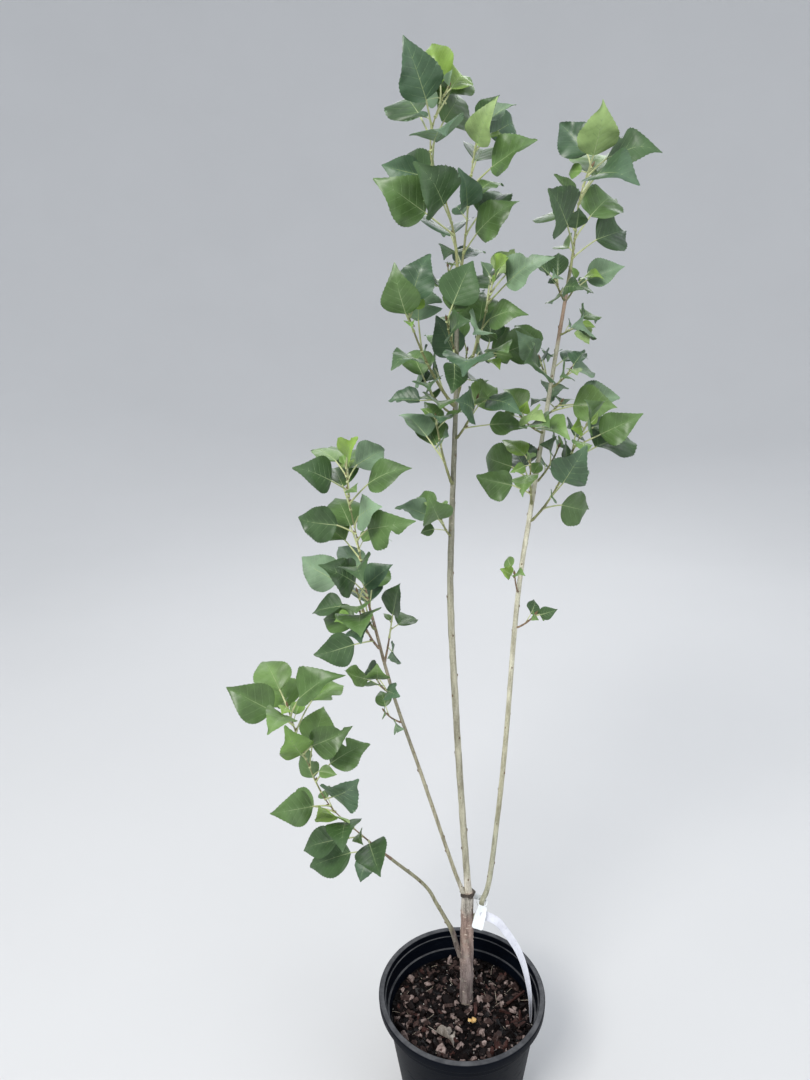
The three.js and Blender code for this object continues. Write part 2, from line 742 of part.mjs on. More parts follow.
function twigGroup(shoot, curve) {
  const times = Array.from({ length: TWIG_TESTS }, (unused, step) => step / (TWIG_TESTS - 1));
  return groupOf(
    shoot.name,
    times.map((t) => pointOn(curve, t)),
    times.map((t) => twigRadius(curve, shoot.length, t) + WOOD_MARGIN),
  );
}

// The cells of the front view that places cover, and how well they fill a space not yet covered
function cellsOf(places) {
  const cells = new Map();
  for (const place of places) {
    const shrink = EYE.y / (EYE.y - place.y);
    const column = Math.floor((EYE.x + (place.x - EYE.x) * shrink) / CELL);
    const row = Math.floor((EYE.z + (place.z - EYE.z) * shrink) / CELL);
    cells.set(`${column},${row}`, [(column + 0.5) * CELL, (row + 0.5) * CELL]);
  }
  return cells;
}

function merit(cells, [x, z, halfWidth, halfHeight], covered) {
  let total = 0;
  for (const [key, [column, row]] of cells) {
    const inside = ((column - x) / halfWidth) ** 2 + ((row - z) / halfHeight) ** 2 < 1;
    if (!inside) {
      total -= OUTSIDE_COST;
    } else if (!covered.has(key)) {
      total += 1;
    }
    if (covered.has(key)) {
      total -= COVERED_COST;
    }
  }
  return total;
}

// A leaf takes the best of its tries that is clear of all wood and of the leaves before it,
// and is skipped where none is
function leavesOf(shoot, curve, seed, taken, covered) {
  const next = numbersFrom(seed);
  for (let spent = 0; spent < SPENT_DRAWS; spent += 1) {
    next();
  }
  const start = next() * 2 * Math.PI;
  const leaves = [];
  for (let index = 0; index < shoot.leaves; index += 1) {
    const tries = Array.from({ length: TRIES }, () => {
      const vary = Array.from({ length: LEAF_DRAWS }, () => next() * 2 - 1);
      const leaf = leafAt(shoot, curve, start, index, vary);
      const places = bladePlaces(leaf);
      const cells = cellsOf(places);
      return { leaf, places, cells, worth: merit(cells, shoot.space, covered) };
    });
    tries.sort((one, other) => other.worth - one.worth);
    for (const { leaf, places, cells } of tries) {
      const stalk = stalkPlaces(leaf);
      const blade = groupOf(null, places, places.map(() => BLADE_MARGIN));
      const petiole = groupOf(null, stalk, stalk.map(() => STALK_MARGIN));
      const blocked = taken.some((group) => (
        meet(blade, group) || (group.owner !== shoot.name && meet(petiole, group))
      ));
      if (!blocked) {
        leaves.push(leaf);
        taken.push(blade, petiole);
        cells.forEach((unused, key) => covered.add(key));
        break;
      }
    }
  }
  return leaves;
}

// A leaf is one skin: a thin stalk and a blade that is thickest along its midrib
function leafSolid(leaf) {
  const left = leaf.across.clone().negate();
  const rings = [
    ringAround(leaf.node, leaf.grow, PETIOLE_RADIUS, 4, left),
    ringAround(leaf.foot, leaf.axis, PETIOLE_RADIUS, 4, left),
  ];
  for (const [u, half] of LEAF_STATIONS) {
    const rise = (half > LEAF_TIP ? RIB_THICKNESS : TIP_THICKNESS) / 2;
    rings.push([
      bladePoint(leaf, u, -half, 0), bladePoint(leaf, u, 0, -rise),
      bladePoint(leaf, u, half, 0), bladePoint(leaf, u, 0, rise),
    ]);
  }
  return loft(rings);
}

// A mass is one leafy shoot: its twig with every petiole and blade fused on
function massSolid(shoot, curve, leaves) {
  const times = shoot.length < SHORT_TWIG ? SHORT_TWIG_STEPS : LONG_TWIG_STEPS;
  const twig = tube(
    times.map((t) => pointOn(curve, t)),
    times.map((t) => (t === 0 ? curve.faces : directionOn(curve, t))),
    times.map((t) => twigRadius(curve, shoot.length, t)),
    TWIG_SIDES,
  );
  return leaves.reduce((whole, leaf) => whole.add(leafSolid(leaf)), twig);
}

// The label: head plate, loop round the right stem, its loose tab and arching strip, all one piece

function plateSolid(centres, acrosses, widths, thickness) {
  const curve = new THREE.CatmullRomCurve3(centres.map(vector), false, 'catmullrom', 0.5);
  const last = widths.length - 1;
  return loft(widths.map((width, index) => {
    const centre = curve.getPoint(index / last);
    const along = curve.getTangent(index / last);
    const across = acrosses[index].clone().addScaledVector(along, -acrosses[index].dot(along));
    across.setLength(width / 2);
    const face = new THREE.Vector3().crossVectors(along, across).setLength(thickness / 2);
    return [[-1, -1], [1, -1], [1, 1], [-1, 1]].map(([wide, thick]) => (
      centre.clone().addScaledVector(across, wide).addScaledVector(face, thick)
    ));
  }));
}

function labelSolid() {
  const across = (index) => vector(STRIP_ACROSS_HEAD)
    .lerp(vector(STRIP_ACROSS_TIP), index / (STRIP_STATIONS - 1));
  const stations = Array.from({ length: STRIP_STATIONS }, (unused, index) => index);
  const strip = plateSolid(
    STRIP_PATH,
    stations.map(across),
    stations.map((index) => THREE.MathUtils.lerp(
      STRIP_WIDTH, STRIP_TIP_WIDTH, (index / (STRIP_STATIONS - 1)) ** STRIP_NARROWING,
    )),
    LABEL_THICKNESS,
  );
  const head = plateSolid(
    [HEAD_TOP, HEAD_FOOT],
    Array(3).fill(vector(HEAD_ACROSS)),
    [HEAD_NARROWING * HEAD_WIDTH, HEAD_WIDTH, HEAD_WIDTH],
    HEAD_THICKNESS,
  );
  const tab = plateSolid(
    [TAB_FOOT, TAB_END],
    Array(2).fill(vector(TAB_ACROSS)),
    Array(2).fill(TAB_WIDTH),
    HEAD_THICKNESS,
  );
  const band = new THREE.LatheGeometry([
    new THREE.Vector2(LOOP_RADIUS, -LOOP_WIDTH / 2),
    new THREE.Vector2(LOOP_RADIUS + LOOP_THICKNESS, -LOOP_WIDTH / 2),
    new THREE.Vector2(LOOP_RADIUS + LOOP_THICKNESS, LOOP_WIDTH / 2),
    new THREE.Vector2(LOOP_RADIUS, LOOP_WIDTH / 2),
    new THREE.Vector2(LOOP_RADIUS, -LOOP_WIDTH / 2),
  ], LOOP_SIDES);
  band.applyQuaternion(new THREE.Quaternion().setFromUnitVectors(
    new THREE.Vector3(0, 1, 0),
    vector(LOOP_AXIS).normalize(),
  ));
  band.translate(...LOOP_CENTRE);
  return strip.add(head).add(tab).add(solidFromGeometry(band));
}

// Colours
const MATERIALS = {
  pot: { color: 0x23252a, roughness: 0.62 },
  compost: { color: 0x3b2c24, roughness: 0.95 },
  trunk: { color: 0x77665a, roughness: 0.85 },
  stem: { color: 0x9c8f78, roughness: 0.75 },
  leaf: { color: 0x3f6b35, roughness: 0.5 },
  label: { color: 0xe9ebf0, roughness: 0.45 },
};

const plant = new THREE.Group();

function addPiece(name, body, material) {
  const surface = new THREE.MeshStandardMaterial({ ...MATERIALS[material], metalness: 0 });
  const mesh = new THREE.Mesh(geometryFromSolid(body), surface);
  mesh.name = name;
  plant.add(mesh);
}

addPiece('pot', potSolid(), 'pot');
addPiece('compost', compostSolid(), 'compost');
addPiece('trunk', trunkSolid(), 'trunk');
for (const [name, stem] of Object.entries(STEMS)) {
  addPiece(`stem_${name}`, stemSolid(stem), 'stem');
}
addPiece('label', labelSolid(), 'label');
const grown = {};
for (const shoot of SHOOTS) {
  grown[shoot.name] = { ...shootCurve(shoot, grown), length: shoot.length };
}
const taken = [
  ...trunkGroups(),
  ...Object.entries(STEMS).flatMap(([name, stem]) => stemGroups(name, stem)),
  ...SHOOTS.map((shoot) => twigGroup(shoot, grown[shoot.name])),
];
const covered = new Set();
SHOOTS.forEach((shoot, number) => {
  const curve = grown[shoot.name];
  const leaves = leavesOf(shoot, curve, SEED + SEED_STEP * number, taken, covered);
  addPiece(`foliage_${shoot.name}`, massSolid(shoot, curve, leaves), 'leaf');
});

export default plant;
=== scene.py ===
"""A young black poplar in a round nursery pot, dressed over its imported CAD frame.

The growth rule is the part's own, written again: the same rows, numbers and choices, so each
leaf stands where its solid does. Sizes and places are millimetres, +X to the viewer's right and
+Y away from the viewer, and add_piece turns them into metres.
"""

import json
from collections import namedtuple

import bpy
import numpy as np
from mathutils import Matrix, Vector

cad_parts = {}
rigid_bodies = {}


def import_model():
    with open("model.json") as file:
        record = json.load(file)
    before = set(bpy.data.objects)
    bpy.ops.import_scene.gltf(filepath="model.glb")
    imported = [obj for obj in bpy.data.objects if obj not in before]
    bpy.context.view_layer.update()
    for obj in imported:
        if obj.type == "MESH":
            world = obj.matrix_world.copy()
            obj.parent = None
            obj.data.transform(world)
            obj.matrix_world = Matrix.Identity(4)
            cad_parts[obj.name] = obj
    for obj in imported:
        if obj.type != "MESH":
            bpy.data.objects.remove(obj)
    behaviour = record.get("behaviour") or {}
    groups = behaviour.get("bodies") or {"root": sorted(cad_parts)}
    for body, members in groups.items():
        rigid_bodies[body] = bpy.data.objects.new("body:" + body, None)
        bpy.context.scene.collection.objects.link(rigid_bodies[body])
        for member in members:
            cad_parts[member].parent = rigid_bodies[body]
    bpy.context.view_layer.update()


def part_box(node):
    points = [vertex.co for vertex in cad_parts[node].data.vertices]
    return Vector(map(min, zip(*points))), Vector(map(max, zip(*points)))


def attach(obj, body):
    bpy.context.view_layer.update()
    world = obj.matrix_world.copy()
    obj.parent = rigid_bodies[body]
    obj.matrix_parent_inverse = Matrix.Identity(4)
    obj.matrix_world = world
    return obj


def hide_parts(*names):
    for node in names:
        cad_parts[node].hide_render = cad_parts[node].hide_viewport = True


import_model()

MM = 0.001
UP = np.array([0.0, 0.0, 1.0])

# Camera and studio

CAMERA_PLACE = np.array([-61.9, -852.8, 1094.7])
CAMERA_PITCH = np.radians(17.663)
CAMERA_ROLL = np.radians(-1.3877)
SENSOR = 36.0
PHOTO_TALL = 1080
FOCAL_PIXELS = 801.9
FAR_CLIP = 30000.0

# The floor's level part, and the sweep that rises all round it
SWEEP_START = 2600.0
SWEEP_REACH = 7000.0
SWEEP_HEIGHT = 5200.0
SWEEP_ROWS = 24
FLOOR_GREYS = ((0.63, 0.63, 0.625), (0.67, 0.67, 0.665))
SKY_COLOUR = (0.86, 0.91, 1.0)
SKY_STRENGTH = 0.84

# Lamps: name, place, what it aims at, side of its square, watts, colour
LAMPS = [
    ("key_lamp", (-1300, -1900, 3000), (0, 0, 700), 1200, 84, (1.0, 0.98, 0.95)),
    ("fill_lamp", (2200, -1500, 1500), (0, 0, 700), 1800, 16, (0.93, 0.96, 1.0)),
    ("back_lamp", (500, 2400, 2300), (0, 0, 800), 1800, 26, (0.97, 0.98, 1.0)),
]


def unit(vectors):
    """Each vector divided by its own length."""
    return vectors / np.linalg.norm(vectors, axis=-1, keepdims=True)


def square_to(vectors, axes):
    """Each vector less its part along its axis, made one long."""
    return unit(vectors - (vectors * axes).sum(-1, keepdims=True) * axes)


def between(start, bend, end, t):
    """The quadratic curve from start to end that is drawn towards bend:
    (1 - t)^2 start + 2 t (1 - t) bend + t^2 end."""
    return (1 - t) ** 2 * start + 2 * t * (1 - t) * bend + t * t * end


def in_scene(name, data):
    """A new object for a mesh, a lamp or a lens, linked into the scene."""
    made = bpy.data.objects.new(name, data)
    bpy.context.scene.collection.objects.link(made)
    return made


def place_looking(obj, place, right, up):
    """Stands a lamp or camera at a place with its right side and its top turned that way, so
    that it looks away from right x up."""
    matrix = np.eye(4)
    matrix[:3, :3] = np.stack([right, up, np.cross(right, up)], axis=-1)
    matrix[:3, 3] = np.asarray(place) * MM
    obj.matrix_world = Matrix(matrix.tolist())


def add_camera():
    """A level camera is pitched down about its right side and then rolled about its view."""
    pitch, roll = CAMERA_PITCH, CAMERA_ROLL
    right = np.array([1.0, 0.0, 0.0])
    down = np.array([0.0, -np.sin(pitch), -np.cos(pitch)])
    rolled_right = np.cos(roll) * right - np.sin(roll) * down
    rolled_down = np.sin(roll) * right + np.cos(roll) * down
    lens = bpy.data.cameras.new("camera")
    lens.sensor_width = SENSOR
    lens.lens = SENSOR * FOCAL_PIXELS / PHOTO_TALL
    lens.clip_end = FAR_CLIP * MM
    camera = in_scene("camera", lens)
    place_looking(camera, CAMERA_PLACE, rolled_right, -rolled_down)
    bpy.context.scene.camera = camera


def add_lamp(name, place, aim, side, watts, colour):
    """A square lamp that faces its aim."""
    lamp = bpy.data.lights.new(name, "AREA")
    lamp.size = side * MM
    lamp.energy = watts
    lamp.color = colour
    back = unit(np.subtract(place, aim).astype(float))
    right = unit(np.cross(UP, back))
    place_looking(in_scene(name, lamp), place, right, np.cross(back, right))


def add_sky():
    """An even pale sky all round."""
    sky = bpy.data.worlds.new("sky")
    sky.use_nodes = True
    background = sky.node_tree.nodes["Background"]
    background.inputs["Color"].default_value = (*SKY_COLOUR, 1)
    background.inputs["Strength"].default_value = SKY_STRENGTH
    bpy.context.scene.world = sky


# Shader building blocks


class Shader:
    """A short way to place shader nodes in one tree and join them."""

    def __init__(self, tree):
        self.tree = tree

    def node(self, kind, inputs=(), **settings):
        made = self.tree.nodes.new(kind)
        for name, value in settings.items():
            setattr(made, name, value)
        for name, value in dict(inputs).items():
            self.feed(made.inputs[name], value)
        return made

    def feed(self, socket, value):
        """A socket takes another node's output, a colour or a number."""
        if isinstance(value, bpy.types.NodeSocket):
            self.tree.links.new(value, socket)
        elif isinstance(value, tuple) and len(value) == 3 and socket.type == "RGBA":
            socket.default_value = (*value, 1)
        else:
            socket.default_value = value

    def place(self, scale=(1, 1, 1)):
        """Object coordinates, stretched by a scale for each axis."""
        where = self.node("ShaderNodeTexCoord").outputs["Object"]
        return self.node("ShaderNodeMapping", {"Vector": where, "Scale": scale}).outputs[0]

    def noise(self, where, scale, detail, roughness=0.55):
        inputs = {"Vector": where, "Scale": scale, "Detail": detail, "Roughness": roughness}
        return self.node("ShaderNodeTexNoise", inputs).outputs["Fac"]

    def off_cell_edge(self, where, scale):
        """How far each place is from the nearest edge between cells."""
        inputs = {"Vector": where, "Scale": scale}
        made = self.node("ShaderNodeTexVoronoi", inputs, feature="DISTANCE_TO_EDGE")
        return made.outputs["Distance"]

    def maths(self, operation, first, second=0.0):
        made = self.node("ShaderNodeMath", operation=operation)
        self.feed(made.inputs[0], first)
        self.feed(made.inputs[1], second)
        return made.outputs[0]

    def fade(self, value, low, high, to_low=0.0, to_high=1.0):
        """Value carried from one span to another, smoothly and no further."""
        inputs = {"Value": value, "From Min": low, "From Max": high}
        inputs.update({"To Min": to_low, "To Max": to_high})
        made = self.node("ShaderNodeMapRange", inputs, interpolation_type="SMOOTHSTEP")
        return made.outputs[0]

    def mix(self, factor, first, second):
        made = self.node("ShaderNodeMix", data_type="RGBA")
        self.feed(made.inputs["Factor"], factor)
        self.feed(made.inputs[6], first)
        self.feed(made.inputs[7], second)
        return made.outputs[2]

    def bump(self, height, strength, distance):
        """A normal that follows a height, its distance in millimetres."""
        inputs = {"Height": height, "Strength": strength, "Distance": distance * MM}
        return self.node("ShaderNodeBump", inputs).outputs[0]

    def group(self, name, **inputs):
        """A node group placed with its own values; its outputs come back by name."""
        placed = self.node("ShaderNodeGroup", node_tree=bpy.data.node_groups[name])
        for socket, value in inputs.items():
            self.feed(placed.inputs[socket], value)
        return placed.outputs


def new_group(name, inputs, outputs):
    """An empty node group: what fills it with nodes, its inputs and its outputs by name."""
    tree = bpy.data.node_groups.new(name, "ShaderNodeTree")
    for socket, kind, value in inputs:
        made = tree.interface.new_socket(socket, in_out="INPUT", socket_type=kind)
        made.default_value = value
    for socket, kind in outputs:
        tree.interface.new_socket(socket, in_out="OUTPUT", socket_type=kind)
    shader = Shader(tree)
    return shader, tree.nodes.new("NodeGroupInput").outputs, tree.nodes.new("NodeGroupOutput").inputs


def finish(name, look, *measures):
    """A material from a look, which is a function that gives what feeds its surface's
    sockets, by name."""
    material = bpy.data.materials.new(name)
    material.use_nodes = True
    surface = material.node_tree.nodes["Principled BSDF"]
    shader = Shader(material.node_tree)
    for socket, value in look(shader, *measures).items():
        shader.feed(surface.inputs[socket], value)
    return material


FLOAT, COLOUR = "NodeSocketFloat", "NodeSocketColor"
GRAIN_STRETCH = 0.16
FINE_GRAIN = 900.0
FINE_PART = 0.3
NET_CELLS = 26.0
VEIN_BAND = 0.11
SIDE_BAND = 0.08
NET_DEPTH = 0.12


def grain_group():
    """Grain: noise stretched along the wood, with finer noise over it, as colour and height."""
    shader, given, result = new_group(
        "wood_grain",
        [
            ("Dark", COLOUR, (0.1, 0.1, 0.1, 1)),
            ("Pale", COLOUR, (0.5, 0.5, 0.5, 1)),
            ("Scale", FLOAT, 90.0),
        ],
        [("Colour", COLOUR), ("Height", FLOAT)],
    )
    along = shader.place((1, 1, GRAIN_STRETCH))
    coarse = shader.noise(along, given["Scale"], detail=5.0, roughness=0.6)
    fine = shader.noise(shader.place((1, 1, 0.5)), FINE_GRAIN, detail=3.0, roughness=0.5)
    coarse = shader.maths("MULTIPLY", coarse, 1 - FINE_PART)
    height = shader.maths("ADD", coarse, shader.maths("MULTIPLY", fine, FINE_PART))
    colour = shader.mix(shader.fade(height, 0.34, 0.66), given["Dark"], given["Pale"])
    shader.feed(result["Colour"], colour)
    shader.feed(result["Height"], height)


def dust_and_highlight_group():
    """A pale layer on what faces up, broken by noise: real dust with a painted highlight."""
    shader, given, result = new_group(
        "dust_and_highlight",
        [
            ("Base", COLOUR, (0.1, 0.1, 0.1, 1)),
            ("Dust", COLOUR, (0.4, 0.38, 0.35, 1)),
            ("Amount", FLOAT, 0.5),
        ],
        [("Colour", COLOUR)],
    )
    normal = shader.node("ShaderNodeNewGeometry").outputs["Normal"]
    facing = shader.node("ShaderNodeSeparateXYZ", {0: normal}).outputs["Z"]
    flat = shader.fade(facing, 0.55, 0.98)
    patchy = shader.noise(shader.place(), scale=60.0, detail=6.0, roughness=0.7)
    broken = shader.fade(patchy, 0.3, 0.7, to_low=0.45)
    mask = shader.maths("MULTIPLY", shader.maths("MULTIPLY", flat, broken), given["Amount"])
    shader.feed(result["Colour"], shader.mix(mask, given["Base"], given["Dust"]))


def venation_group():
    """Fine veins of a blade: a net of cells, side veins that leave the midrib and rise, and the
    band where they meet along the midrib."""
    outputs = [("Net", FLOAT), ("Side", FLOAT), ("Rib", FLOAT), ("Quilt", FLOAT)]
    shader, _, result = new_group("leaf_venation", [], outputs)
    blade = shader.node("ShaderNodeUVMap", uv_map="blade").outputs[0]
    split = shader.node("ShaderNodeSeparateXYZ", {0: blade}).outputs
    off_rib = shader.maths("ABSOLUTE", shader.maths("SUBTRACT", split["Y"], 0.5))
    rise = shader.maths("ADD", shader.maths("MULTIPLY", off_rib, VEIN_RISE), VEIN_FIRST)
    phase = shader.maths("SUBTRACT", split["X"], rise)
    wave = shader.maths("PINGPONG", shader.maths("MULTIPLY", phase, 1 / VEIN_SPACING), 0.5)
    net = shader.fade(shader.off_cell_edge(blade, NET_CELLS), 0.0, VEIN_BAND, 1.0, 0.0)
    shader.feed(result["Net"], net)
    shader.feed(result["Side"], shader.fade(wave, 0.0, SIDE_BAND, 1.0, 0.0))
    shader.feed(result["Rib"], shader.fade(off_rib, 0.0, VEIN_BAND, 1.0, 0.0))
    sunk = shader.maths("MULTIPLY", net, NET_DEPTH)
    quilt = shader.maths("SUBTRACT", shader.fade(wave, 0, 0.5), sunk)
    shader.feed(result["Quilt"], quilt)


# Finishes

# Pale grey of the layer on what faces up: real dust and a painted highlight together
PALE_DUST_AND_HIGHLIGHT = (0.19, 0.192, 0.198)
POT_BLACK = (0.0026, 0.0040, 0.0075)
POT_SCUFFED = (0.009, 0.012, 0.018)
LICHEN_GREY = (0.43, 0.42, 0.34)
CUT_DARK = (0.20, 0.155, 0.125)
CUT_PALE = (0.55, 0.46, 0.39)
LICHEN_PART = 0.34
PATCH_REACH = 2.4
PATCH_SCALE = 45.0
YOUNG_GRAIN = 160.0
CHIP_GRAIN = 240.0

# How a leaf's green is varied: blotches that are partly its own uneven tone and partly painted shade
# and painted sheen, and the paler tint of its veins
TONE_AND_SHEEN_SCALE = 25.0
BLOTCH_AND_PAINTED_SHADE = 0.70
BLOTCH_AND_PAINTED_SHEEN = 1.18
VEIN_LIGHT = 1.35
VEIN_LIFT = 0.025
VEIN_STRENGTHS = {"Net": 0.20, "Rib": 0.42, "Side": 0.34}


def leaf_look(shader, colour, roughness):
    """Leaf skin: its own green, darker and lighter in blotches that are partly uneven tone and partly
    painted shade and sheen, and paler along the veins and their net.
    """
    veins = shader.group("leaf_venation")
    # the blotch noise darkens and lightens the green: partly uneven tone, partly painted shade and
    # painted sheen
    blotch = shader.fade(shader.noise(shader.place(), TONE_AND_SHEEN_SCALE, detail=3.0), 0.34, 0.66)
    darker, lighter = (
        tuple(times * part for part in colour) for times in (BLOTCH_AND_PAINTED_SHADE, BLOTCH_AND_PAINTED_SHEEN)
    )
    pale = tuple(VEIN_LIGHT * part + VEIN_LIFT for part in colour)
    base = shader.mix(blotch, darker, lighter)
    for vein, strength in VEIN_STRENGTHS.items():
        base = shader.mix(shader.maths("MULTIPLY", veins[vein], strength), base, pale)
    return {
        "Base Color": base,
        "Roughness": shader.fade(blotch, 0, 1, roughness - 0.05, roughness + 0.06),
        "Specular IOR Level": 0.5,
        "Normal": shader.bump(veins["Quilt"], strength=0.08, distance=1.0),
    }


def bark_look(shader, scale, relief, tints):
    """Bark: grain from a dark to a pale tint, spots of lichen grey, and other tints higher up.

    The first of the tints is (dark, pale). Each later one is (height low, height high, dark,
    pale): the bark turns to it between those heights, in patches.
    """
    (dark, pale), *higher = tints
    grain = shader.group("wood_grain", Dark=dark, Pale=pale, Scale=scale)
    colour = grain["Colour"]
    height = shader.node("ShaderNodeSeparateXYZ", {0: shader.place()}).outputs["Z"]
    patchy = shader.noise(shader.place((1, 1, 0.4)), PATCH_SCALE, detail=3.0)
    patches = shader.maths("SUBTRACT", patchy, 0.5)
    for low, high, dark, pale in higher:
        stray = shader.maths("MULTIPLY", patches, PATCH_REACH * (high - low) * MM)
        change = shader.fade(shader.maths("ADD", height, stray), low * MM, high * MM)
        other = shader.group("wood_grain", Dark=dark, Pale=pale, Scale=scale)
        colour = shader.mix(change, colour, other["Colour"])
    spotty = shader.noise(shader.place((1, 1, 0.7)), scale=120.0, detail=5.0)
    blotch = shader.fade(spotty, 0.52, 0.72)
    colour = shader.mix(shader.maths("MULTIPLY", blotch, LICHEN_PART), colour, LICHEN_GREY)
    return {
        "Base Color": colour,
        "Roughness": shader.fade(grain["Height"], 0.2, 0.8, 0.9, 0.68),
        "Normal": shader.bump(grain["Height"], relief, distance=0.8),
    }


def growth_look(shader, dark, pale, roughness):
    """Young growth: stalks, twigs and buds in two near tints of one colour."""
    grain = shader.group("wood_grain", Dark=dark, Pale=pale, Scale=YOUNG_GRAIN)
    return {
        "Base Color": grain["Colour"],
        "Roughness": shader.fade(grain["Height"], 0.2, 0.8, roughness + 0.08, roughness - 0.06),
        "Normal": shader.bump(grain["Height"], strength=0.25, distance=0.4),
    }


def pot_look(shader):
    """Moulded black plastic: finely pitted, scuffed, with dust and a painted highlight on its ledges
    and rim.
    """
    scratchy = shader.noise(shader.place((1, 1, 3)), scale=55.0, detail=8.0, roughness=0.75)
    scuffs = shader.fade(scratchy, 0.48, 0.75)
    base = shader.mix(shader.maths("MULTIPLY", scuffs, 0.5), POT_BLACK, POT_SCUFFED)
    # pale on up-facing ledges and rim: dust plus a painted highlight
    dust_and_highlight_layer = shader.group("dust_and_highlight", Base=base, Dust=PALE_DUST_AND_HIGHLIGHT, Amount=0.55)
    pits = shader.noise(shader.place(), scale=1400.0, detail=2.0)
    return {
        "Base Color": dust_and_highlight_layer["Colour"],
        "Roughness": shader.fade(scuffs, 0, 1, 0.46, 0.64),
        "Specular IOR Level": 0.04,
        "Normal": shader.bump(pits, strength=0.12, distance=0.4),
    }


def chip_look(shader, dark, pale):
    """Composted bark: split grain in its own tint, darker and glossier where damp, in patches."""
    grain = shader.group("wood_grain", Dark=dark, Pale=pale, Scale=CHIP_GRAIN)
    damp = shader.fade(shader.noise(shader.place(), scale=75.0, detail=4.0), 0.40, 0.62)
    colour = shader.mix(shader.maths("MULTIPLY", damp, 0.55), grain["Colour"], dark)
    return {
        "Base Color": colour,
        "Roughness": shader.fade(damp, 0, 1, 0.90, 0.42),
        "Specular IOR Level": 0.14,
        "Normal": shader.bump(grain["Height"], strength=0.7, distance=0.9),
    }


def cut_look(shader):
    """The pruned end of the trunk: dry pale wood with its grain."""
    grain = shader.group("wood_grain", Dark=CUT_DARK, Pale=CUT_PALE, Scale=YOUNG_GRAIN)
    return {
        "Base Color": grain["Colour"],
        "Roughness": 0.85,
        "Normal": shader.bump(grain["Height"], strength=0.6, distance=0.6),
    }


def label_look(shader, bright, dull, streak):
    """Label plastic: faintly mottled, with fine streaks along its length."""
    cloud = shader.fade(shader.noise(shader.place(), scale=45.0, detail=5.0), 0.35, 0.70)
    streaky = shader.noise(shader.place((1, 1, 0.08)), scale=520.0, detail=2.0)
    marks = shader.fade(streaky, 0.56, 0.74)
    uneven = shader.noise(shader.place(), scale=260.0, detail=3.0)
    base = shader.mix(cloud, bright, dull)
    base = shader.mix(shader.maths("MULTIPLY", marks, 0.5), base, streak)
    return {
        "Base Color": base,
        "Roughness": shader.fade(marks, 0, 1, 0.38, 0.6),
        "Normal": shader.bump(uneven, strength=0.10, distance=0.5),
    }


def floor_look(shader):
    """Plain pale floor with the faintest mottling."""
    cloud = shader.noise(shader.place(), scale=1.5, detail=3.0)
    return {"Base Color": shader.mix(cloud, *FLOOR_GREYS), "Roughness": 0.9}


# The growth rule

GAP = 0.3
TIP = None
SOIL_LEVEL = 142.0
TRUNK_FOOT = np.array([8.0, 18.0, SOIL_LEVEL + GAP])
TRUNK_TOP = np.array([9.0, 12.0, 333.0])
TRUNK_FOOT_RADIUS = 9.4
TRUNK_TOP_RADIUS = 8.1
ROOT_FLARE = 1.8
ROOT_FLARE_HEIGHT = 5.0


def trunk_axis(heights):
    """Places on the trunk's straight axis."""
    part = (np.asarray(heights, float) - TRUNK_FOOT[2]) / (TRUNK_TOP[2] - TRUNK_FOOT[2])
    return TRUNK_FOOT + part[..., None] * (TRUNK_TOP - TRUNK_FOOT)


def trunk_radius(heights):
    """A straight taper, with a flare that dies away above the soil."""
    heights = np.asarray(heights, float)
    part = (heights - TRUNK_FOOT[2]) / (TRUNK_TOP[2] - TRUNK_FOOT[2])
    taper = TRUNK_FOOT_RADIUS + part * (TRUNK_TOP_RADIUS - TRUNK_FOOT_RADIUS)
    return taper + ROOT_FLARE * np.exp((TRUNK_FOOT[2] - heights) / ROOT_FLARE_HEIGHT)


def beside_trunk(height, side):
    """The place just off the trunk's right (+1) or left (-1) side."""
    return trunk_axis(height) + np.array([side * (trunk_radius(height) + GAP), 0, 0])


TANGENT_STEP = 0.002
HALVINGS = 40

# Stems: the places each one passes, and its radius at each
STEM_FOOT_HEIGHT = TRUNK_TOP[2] + GAP
STEMS = {
    "middle": (
        [(10, 13, STEM_FOOT_HEIGHT), (1, 12, 480), (-6, 10, 616), (-11, 9, 746),
         (-9, 9, 842), (-4, 9, 975), (-2, 9, 1103)],
        [4.4, 4.1, 4.0, 3.8, 3.2, 2.5, 2.1],
    ),
    "right": (
        [beside_trunk(289, 1), (21.5, 13.2, 291.5), (25.5, 13, 301), (29, 13, 316),
         (39, 14, 357), (55, 17, 529), (68, 22, 734), (83, 26, 856), (102, 31, 992),
         (119, 36, 1107)],
        [3.8, 3.7, 3.6, 3.4, 3.3, 3.1, 2.9, 2.7, 2.2, 1.8],
    ),
    "left": (
        [(2.6, 10, STEM_FOOT_HEIGHT), (-13, 6, 387), (-50, -4, 527), (-79, -12, 634),
         (-102, -20, 745)],
        [2.7, 2.4, 2.2, 2.0, 1.7],
    ),
    "low": (
        [beside_trunk(226, -1), (-5.4, 14, 242), (-11, 12, 267), (-18.6, 8.8, 288),
         (-31, 3.5, 319), (-48, -6, 360), (-90, -18, 412)],
        [4.0, 3.4, 3.5, 2.8, 2.4, 2.2, 2.0],
    ),
}

